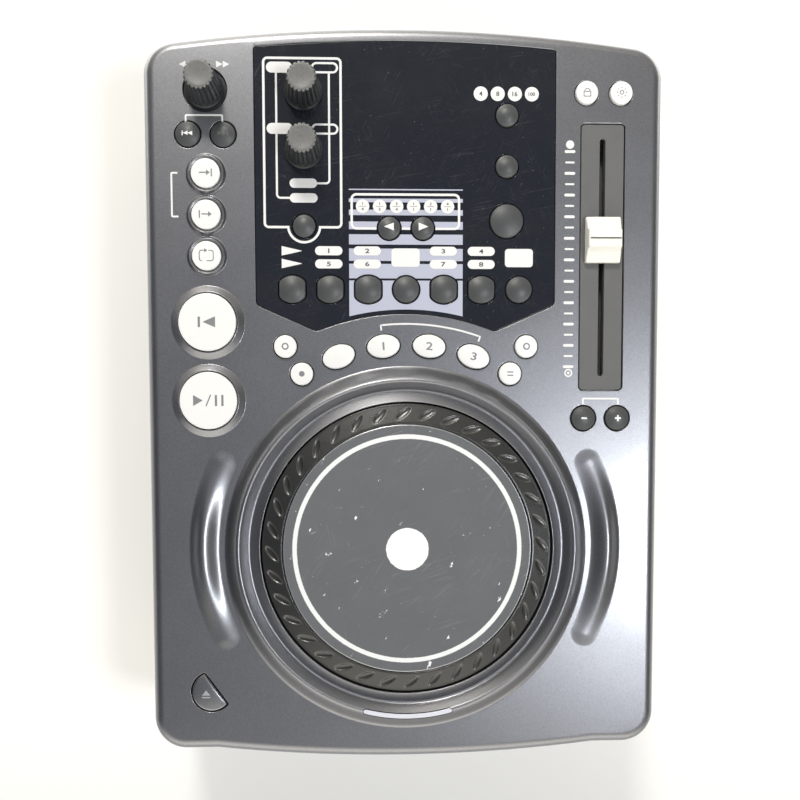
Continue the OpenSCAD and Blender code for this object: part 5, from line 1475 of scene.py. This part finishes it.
class PLAYER_OT_jog_wheel(bpy.types.Operator):
    """Finger ring with its dimples, touch plate and lamp window"""
    bl_idname = "player.jog_wheel"
    bl_label = "Jog wheel"

    dimples = 36
    lean = 52.0
    first = 91.6
    under_z, shelf_z, foot_z = 87.5, 85, 71.5

    def execute(self, context):
        c, j = sizes("case"), sizes("jog")
        centre = (0, j.centre_y)
        ring = piece(self.ring(j), "finger_ring", "jog_wheel",
                     finish("ring_rubber", worn_ring, tone("ring")), "ring_black", ["jog_ring"],
                     sharp=60)
        self.mark_edges(ring.data, j)
        profile = rounded([(0, j.plate_z), (j.plate_r, j.plate_z), (j.plate_r, j.plate_z - 1.5),
                           (0, j.plate_z - 1.5)], (0, 0.5, 0, 0), 6, False)
        piece(Surface().turned(profile, centre, 256), "touch_plate", "jog_wheel",
              finish("plate_film", film, tone("plate"), centre), "plate_grey", ["jog_plate"])
        self.lamp(c, j)
        return {"FINISHED"}

    def dimple(self, x, y, j):
        """How deep a point lies in the nearest dimple, from 0 at its edge to 1 in the middle.
        A dimple is an ellipse whose long axis leans clockwise from the outward radius."""
        radius, angle = np.hypot(x, y), np.degrees(np.arctan2(y, x))
        pitch = 360 / self.dimples
        off = (angle - self.first + pitch / 2) % pitch - pitch / 2
        out, round_ = radius - j.dimple_r, np.radians(off) * radius
        cos, sin = math.cos(math.radians(self.lean)), math.sin(math.radians(self.lean))
        along, across = out * cos - round_ * sin, out * sin + round_ * cos
        return (along / (j.dimple_l / 2)) ** 2 + (across / (j.dimple_w / 2)) ** 2

    def ring(self, j):
        """The ring's profile carried round its axis and pressed in at the dimples."""
        inner, edge = j.plate_r + 0.2, j.ring_z
        slope_z, under = j.plate_z - 0.1, (inner, self.under_z)
        slope = np.linspace((inner + 0.7, slope_z), (j.ring_r - 0.8, edge + 0.1), 40)
        profile = np.concatenate([
            rounded([under, (inner, slope_z), (inner + 0.7, slope_z)], (0, 0.3, 0), 4, False)[:-1],
            slope,
            rounded([(j.ring_r - 0.8, edge + 0.1), (j.ring_r, edge), (j.ring_r, self.foot_z),
                     (j.ring_r - 2, self.foot_z), (j.ring_r - 2, self.shelf_z), under],
                    (0, 0.5, 0.3, 0, 0, 0), 4, False)[1:]])

        def press(radius, height, angle):
            share = self.dimple(radius * np.cos(angle), radius * np.sin(angle), j)
            depth = j.dimple_d * np.sqrt(np.clip(1 - share, 0, 1))
            return radius, height - np.where(height > edge - 1, depth, 0)
        return Surface().turned(profile, (0, j.centre_y), self.dimples * 36, press)

    def mark_edges(self, mesh, j):
        """Stores how near each point is to a dimple's edge, for the wear in the material."""
        points = np.zeros(len(mesh.vertices) * 3)
        mesh.vertices.foreach_get("co", points)
        points = points.reshape(-1, 3) / MM
        share = self.dimple(points[:, 0], points[:, 1] - j.centre_y, j)
        near = np.clip(1 - np.abs(share - 1.05) / 0.45, 0, 1) * (points[:, 2] > j.ring_z - 1)
        mesh.attributes.new("edge", "FLOAT", "POINT").data.foreach_set("value", near.astype(np.float32))

    def lamp(self, c, j):
        """Window that follows the rim's crest: a band of the rim's profile whose width narrows
        along a half circle at both ends."""
        half, low, high = 15.3, j.crest_r - 0.55, j.crest_r + 1.5
        profile = rim_profile(c, j)
        # The first band is near-black and a little wider than the window, laid over the rim under it:
        # painted shade of the gap round the window.
        for name, spread_mm, rise, skin in (
                ("lamp_gap", 0.28, 0.02, finish("gap_black", satin, (0.004, 0.004, 0.004), 0.8)),
                ("lamp_lens", 0.0, 0.10, finish("lamp_milk", milky, tone("lamp")))):
            reach = half + math.degrees(spread_mm / j.crest_r)
            run = np.radians(np.linspace(270 - reach, 270 + reach, 121))
            wide = (high - low) / 2 + spread_mm
            from_end = (math.radians(reach) - np.abs(run - math.radians(270))) * j.crest_r
            share = np.sqrt(np.clip(1 - np.clip(1 - from_end / wide, 0, 1) ** 2, 0, 1))
            across = np.linspace(-1, 1, 13)[:, None]
            radius = (low + high) / 2 + across * wide * share
            height = (np.interp(radius, profile[1:, 0], profile[1:, 1]) + rise
                      - 0.13 * np.abs(across) ** 6 * (rise > 0.05))
            radius = widened(j, radius, run)
            rows = np.stack([radius * np.cos(run), j.centre_y + radius * np.sin(run), height], -1)
            piece(Surface().grid(rows, False), name, "case", skin, "lamp_clear", ["lamp_window"])


# ---------------------------------------------------------------- fader

class PLAYER_OT_fader(bpy.types.Operator):
    """Pitch fader's plate, dust seal and cap"""
    bl_idname = "player.fader"
    bl_label = "Pitch fader"

    slot_w, slot_l = 2.4, 100.4
    lever_w, lever_l = 1.2, 4.0

    def execute(self, context):
        low, high = box_mm("fader_plate")
        middle = centre_of("fader_plate")
        width, depth = (high - low)[:2]
        slot = pill(middle, self.slot_w, self.slot_l)
        face = finish("fader_satin", satin, tone("fader"), 0.8)
        piece(plate(rounded_box(middle, width, depth, 1.5), [slot], high[2], low[2], 0.25),
              "fader_face", "case", face, "fader_grey", ["fader_plate"], level=True)
        self.seal(middle, low[2])
        self.cap()
        return {"FINISHED"}

    def seal(self, middle, z):
        """Two felt strips under the slot, parted for the lever."""
        made = Surface()
        inner, outer = self.lever_w / 2 + 0.12, self.slot_w / 2 + 1
        top, bottom, lip = z - 0.1, z - 1.2, 0.08
        for side in (-1, 1):
            mid = middle + (side * (inner + outer) / 2, 0)
            strip = rounded_box(mid, outer - inner, self.slot_l + 3, 0.1, 2)
            made.grid(rim_rows(strip, top, bottom, lip, 3))
            made.flat([grow(strip, -lip)], top)
        piece(made, "fader_felt", "case", finish("black_felt", felt, (0.012, 0.012, 0.013)), "fader_grey")

    def cap(self):
        """Ivory cap: a side profile carried across, drawn in at both ends with a rounded edge."""
        x, y = centre_of("fader_cap")
        base, top = 86.3, box_mm("fader_cap")[1][2]
        half, lip, taper = 7.6, 0.6, 0.07
        ivory = finish("ivory_cap", pearl, tone("ivory"))
        side = rounded([(-9.65, base), (9.65, base), (9.65, base + 1.9), (4.3, top - 1.7), (3.5, top),
                        (0, top - 0.25), (-3.5, top), (-4.3, top - 1.7), (-9.65, base + 1.9)],
                       (0.3, 0.3, 0.7, 0.5, 0.5, 3, 0.5, 0.5, 0.7), 6)
        made = Surface()
        centre = np.array([0, (base + top) / 2 - 1.2])
        rows = [self.across(x + half, centre + (grow(side, -lip) - centre) * t) for t in (0, 0.5, 1)]
        rows += [self.across(x + half - lip * (1 - math.sin(a)), grow(side, -lip * (1 - math.cos(a))))
                 for a in np.linspace(math.pi / 2, 0, 5)[1:]]
        mirrored = [row * (-1, 1, 1) + (2 * x, 0, 0) for row in rows[::-1]]
        block = np.array(rows + mirrored) + (0, y, 0)
        block[..., 0] = x + (block[..., 0] - x) * (1 - taper * (block[..., 2] - base) / (top - base))
        made.grid(block)
        lever = rounded_box((x, y), self.lever_w, self.lever_l, 0.15, 3)
        made.grid(np.array([lift(lever, base + 0.1), lift(lever, 79.0)]))
        carriage, high, low, edge = rounded_box((x, y), 11.4, 8.0, 0.5, 3), 81.7, 76.4, 0.3
        made.grid(rim_rows(carriage, high, low, edge)).flat([grow(carriage, -edge)], high)
        made.flat([carriage], low, down=True)
        piece(made, "fader_cap_body", "pitch_fader", ivory, "cap_ivory", ["fader_cap"], sharp=50)
        line = rounded_box((x + 0.1, y), 13.2, 0.6, 0.2)
        mark = Surface().flat([line], top - 0.12)
        piece(mark, "fader_index", "pitch_fader", finish("index_ink", ink, (0.11, 0.11, 0.10)), "cap_ivory")

    def across(self, x, loop):
        return np.column_stack([np.full(len(loop), x), loop])


# ---------------------------------------------------------------- rear sockets

class PLAYER_OT_sockets(bpy.types.Operator):
    """Phono and mini jacks, mains inlet and rocker switch"""
    bl_idname = "player.sockets"
    bl_label = "Rear sockets"

    phono = {-66: (0.55, 0.03, 0.02), -51: (0.62, 0.62, 0.60), -33: (0.62, 0.30, 0.03)}
    minis = (-14, 0)
    inlet_x, switch_x, pin_x = 60, 28, 4.3
    socket_z = 41.0

    def execute(self, context):
        wall = sizes("case").bay_y
        nickel = finish("nickel", sheet_metal, (0.72, 0.72, 0.70), 90)
        black = finish("socket_black", satin, (0.016, 0.016, 0.017), 0.4)
        phono = rounded([(3.1, 2.5), (3.1, 8.6), (4.15, 8.6), (4.15, 0.6), (5.6, 0.6), (5.6, 0)],
                        (0, 0.2, 0.4, 0.2, 0.2, 0), 4, False)
        mini = rounded([(1.75, -4), (1.75, 1.5), (3, 1.5), (3, 0.9), (4.3, 0.9), (4.3, 0)],
                       (0, 0.2, 0.3, 0.1, 0.3, 0), 4, False)
        insert = rounded([(1.6, -2), (1.6, 8.1), (3.1, 8.1), (3.1, 6.5)], (0, 0.2, 0.1, 0), 4, False)
        pin = rounded([(0, -0.6), (1.2, -0.6), (1.2, -11.5)], (0, 0.6, 0), 4, False)
        barrels, frames, pins = Surface(), Surface(), Surface()
        for profile, places in ((phono, self.phono), (mini, self.minis)):
            for x in places:
                barrels.lying(profile, (x, wall, self.socket_z))
        piece(barrels, "jack_barrels", "case", nickel, "jack_black", ["rear_jacks"], sharp=60)
        for x, ring in self.phono.items():
            made = Surface().lying(insert, (x, wall, self.socket_z))
            piece(made, f"jack_insert_{self.minis[0] - x}", "case",
                  finish(f"insert_{self.minis[0] - x}", satin, ring, 0.35), "jack_black", sharp=60)
        self.framed(frames, (self.inlet_x, self.socket_z), (28, 18), (16, 8), 3.9, wall, 12)
        self.framed(frames, (self.switch_x, self.socket_z), (22, 17), (16.6, 11.2), 0.5, wall, 5)
        piece(frames, "inlet_and_switch_frames", "case", black, "jack_black", ["rear_jacks"], level=True)
        for side in (-1, 1):
            pins.lying(pin, (self.inlet_x + self.pin_x * side, wall, self.socket_z), 24)
        piece(pins, "inlet_pins", "case", nickel, "jack_black", sharp=60)
        return {"FINISHED"}

    def framed(self, made, centre, outer, inner, radius, wall, deep):
        """A flange with a cavity, made lying flat and stood up against the wall."""
        loop = rounded_box((0, 0), *outer, 1.6)
        hole = rounded_box((0, 0), *inner, radius)
        flat = plate(loop, [hole], 2.0, 0.0, 0.4)
        flat.grid(np.array([lift(hole, -deep), lift(hole, 0.5)]))
        flat.flat([hole], -deep)
        for points, faces in zip(flat.points, flat.faces):
            placed = np.stack([centre[0] - points[:, 0], wall + points[:, 2], centre[1] + points[:, 1]], 1)
            made.add(placed, faces - faces.min())


# ---------------------------------------------------------------- inner parts

class PLAYER_OT_inner_parts(bpy.types.Operator):
    """Finishes of the parts inside the case"""
    bl_idname = "player.inner_parts"
    bl_label = "Inner parts"

    def execute(self, context):
        steel = finish("zinc_sheet", sheet_metal, tone("steel"))
        board = finish("resist_green", circuit_board, tone("board"))
        black = finish("part_black", satin, (0.018, 0.018, 0.019), 0.45)
        skins = {
            "display_module": finish("dark_glass", satin, (0.006, 0.006, 0.008), 0.2),
            "control_board": board, "main_board": board, "tact_switches": black,
            "rotary_encoders": steel, "fader_track": steel, "jog_bearing": steel,
            "power_supply": finish("resist_tan", circuit_board, (0.16, 0.09, 0.03)),
            "case_screws": finish("screw_zinc", sheet_metal, (0.45, 0.45, 0.46), 45),
            "drive_chassis": steel, "feed_roller": finish("roller_rubber", rubber, (0.02, 0.02, 0.02)),
            "laser_sled": black, "disc_turntable": finish("hub_plastic", satin, (0.05, 0.05, 0.055)),
            "power_switch": finish("rocker_gloss", satin, (0.016, 0.016, 0.017), 0.25)}
        for node, skin in skins.items():
            slots = frame["nodes"][node].data.materials
            slots.clear()
            slots.append(skin)
        return {"FINISHED"}


# ---------------------------------------------------------------- stage

class PLAYER_OT_stage(bpy.types.Operator):
    """Camera, lamps, room and floor"""
    bl_idname = "player.stage"
    bl_label = "Stage"

    def execute(self, context):
        s = settings().stage
        scene = context.scene
        scene.view_settings.view_transform = "Standard"
        camera = bpy.data.cameras.new("camera")
        camera.lens, camera.sensor_width = s.lens_mm, 36
        camera.shift_x, camera.shift_y = s.shift
        camera.clip_start = 0.01
        view = bpy.data.objects.new("camera", camera)
        view.location, view.rotation_euler = s.eye, s.tilt
        scene.collection.objects.link(view)
        scene.camera = view
        self.lamp("key_lamp", (0.55, -0.215, 1.30), (0.02, 0.0, 0.09), 0.30, s.key, (0.94, 0.97, 1))
        self.lamp("rear_lamp", (-0.20, 1.08, 1.12), (0, 0, 0.09), 0.32, s.window, (1, 0.97, 0.90))
        self.room(scene)
        self.floor()
        return {"FINISHED"}

    def lamp(self, name, place, target, size, power, tint):
        lamp = bpy.data.lights.new(name, "AREA")
        lamp.shape, lamp.size, lamp.energy, lamp.color = "DISK", size, power, tint
        made = bpy.data.objects.new(name, lamp)
        away = np.array(target) - np.array(place)
        flat = math.hypot(away[0], away[1])
        made.location = place
        made.rotation_euler = (math.atan2(flat, -away[2]), 0, math.atan2(-away[0], away[1]))
        made.visible_camera = False
        bpy.context.scene.collection.objects.link(made)

    def room(self, scene):
        """Room light by direction: dim above, warm to the rear and in front, dark to the sides.
        Sight lines past the floor's edge meet plain white."""
        world = bpy.data.worlds.new("room")
        world.use_nodes = True
        scene.world = world
        g = Graph(world.node_tree)
        way = g.node("ShaderNodeSeparateXYZ", None, {"Vector": g.node("ShaderNodeTexCoord")["Generated"]})
        side = g.step(way["X"], -0.4, 0.4)
        tint = g.mix(side, (0.05, 0.06, 0.09, 1), (0.11, 0.10, 0.09, 1))
        tint = g.mix(g.step(way["Z"], 0.72, 0.95), tint, (0.28, 0.29, 0.32, 1))
        tint = g.mix(g.step(way["Y"], 0.22, 0.60), tint, (0.62, 0.59, 0.53, 1))
        tint = g.mix(g.step(way["Y"], -0.35, -0.92), tint, (2.3, 2.2, 1.98, 1))
        tint = g.mix(g.step(way["Y"] - 0.2 * way["X"], 0.90, 1.0), tint, (3.4, 3.2, 2.8, 1))
        rays = g.node("ShaderNodeLightPath")
        low = 1 - g.step(abs(way["Z"]), 0.06, 0.12)
        sight = rays["Is Camera Ray"] + (rays["Is Glossy Ray"] + rays["Is Transmission Ray"]) * low
        tint = g.mix(sight, tint, (1, 1, 1, 1))
        back = g.node("ShaderNodeBackground", None, {"Color": tint, "Strength": 1.0})
        g.node("ShaderNodeOutputWorld", None, {"Surface": back["Background"]})

    def floor(self):
        """Plain pale floor. It glows a little for sight lines only, straight, mirrored or through
        glass, so that it reads white round the object's shadow. In front of the object it glows less,
        which paints a darker shade on the floor there; behind the object it glows brightly for mirrored
        sight lines only."""
        made = bpy.data.materials.new("floor_white")
        made.use_nodes = True
        g = Graph(made.node_tree)
        rays = g.node("ShaderNodeLightPath")
        sight = rays["Is Camera Ray"] + rays["Is Glossy Ray"] + rays["Is Transmission Ray"]
        lit = g.node("ShaderNodeBsdfDiffuse", None, {"Color": (0.85, 0.85, 0.84, 1)})
        along = g.node("ShaderNodeSeparateXYZ", None, {"Vector": g.place()})["Y"]
        rear = g.step(along, 0.18, 0.30)
        # In front of the object the glow drops, which paints shade on the floor there.
        front = 1 - g.step(along, -0.24, -0.16)
        glow = g.node("ShaderNodeEmission", None, {
            "Color": (1, 0.97, 0.90, 1),
            "Strength": sight * (0.14 - 0.10 * front) + rays["Is Glossy Ray"] * rear * 2.6})
        both = g.node("ShaderNodeAddShader", None, {0: lit["BSDF"], 1: glow["Emission"]})
        g.node("ShaderNodeOutputMaterial", None, {"Surface": both["Shader"]})
        half = 4.0
        mesh = bpy.data.meshes.new("floor")
        mesh.from_pydata([(-half, -half, 0), (half, -half, 0), (half, half, 0), (-half, half, 0)], [],
                         [(0, 1, 2, 3)])
        mesh.materials.append(made)
        ground = bpy.data.objects.new("floor", mesh)
        bpy.context.scene.collection.objects.link(ground)
        ground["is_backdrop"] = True


# ---------------------------------------------------------------- add-on

OPERATORS = [PLAYER_OT_stage, PLAYER_OT_case, PLAYER_OT_display, PLAYER_OT_panel_print,
             PLAYER_OT_buttons, PLAYER_OT_knobs, PLAYER_OT_jog_wheel, PLAYER_OT_fader,
             PLAYER_OT_sockets, PLAYER_OT_inner_parts]


class PLAYER_PT_panel(bpy.types.Panel):
    """Lists the pieces in the order in which they are built"""
    bl_idname = "PLAYER_PT_panel"
    bl_label = "Disc player"
    bl_space_type = "VIEW_3D"
    bl_region_type = "UI"
    bl_category = "Disc Player"

    def draw(self, context):
        for operator in OPERATORS:
            self.layout.operator(operator.bl_idname)


CLASSES = [CaseSizes, ControlSizes, JogSizes, DisplaySizes, Finishes, StageSettings,
           PlayerSettings] + OPERATORS + [PLAYER_PT_panel]


def register():
    for one in CLASSES:
        bpy.utils.register_class(one)
    bpy.types.Scene.disc_player = bpy.props.PointerProperty(type=PlayerSettings)


def unregister():
    del bpy.types.Scene.disc_player
    for one in reversed(CLASSES):
        bpy.utils.unregister_class(one)


def corners(box):
    return [list(map(float, corner)) for corner in box]


def main():
    register()
    for operator in OPERATORS:
        group, name = operator.bl_idname.split(".")
        getattr(getattr(bpy.ops, group), name)()
    {"cad": corners(CAD_BOX), "visual": corners(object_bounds())}


if __name__ == "__main__":
    main()
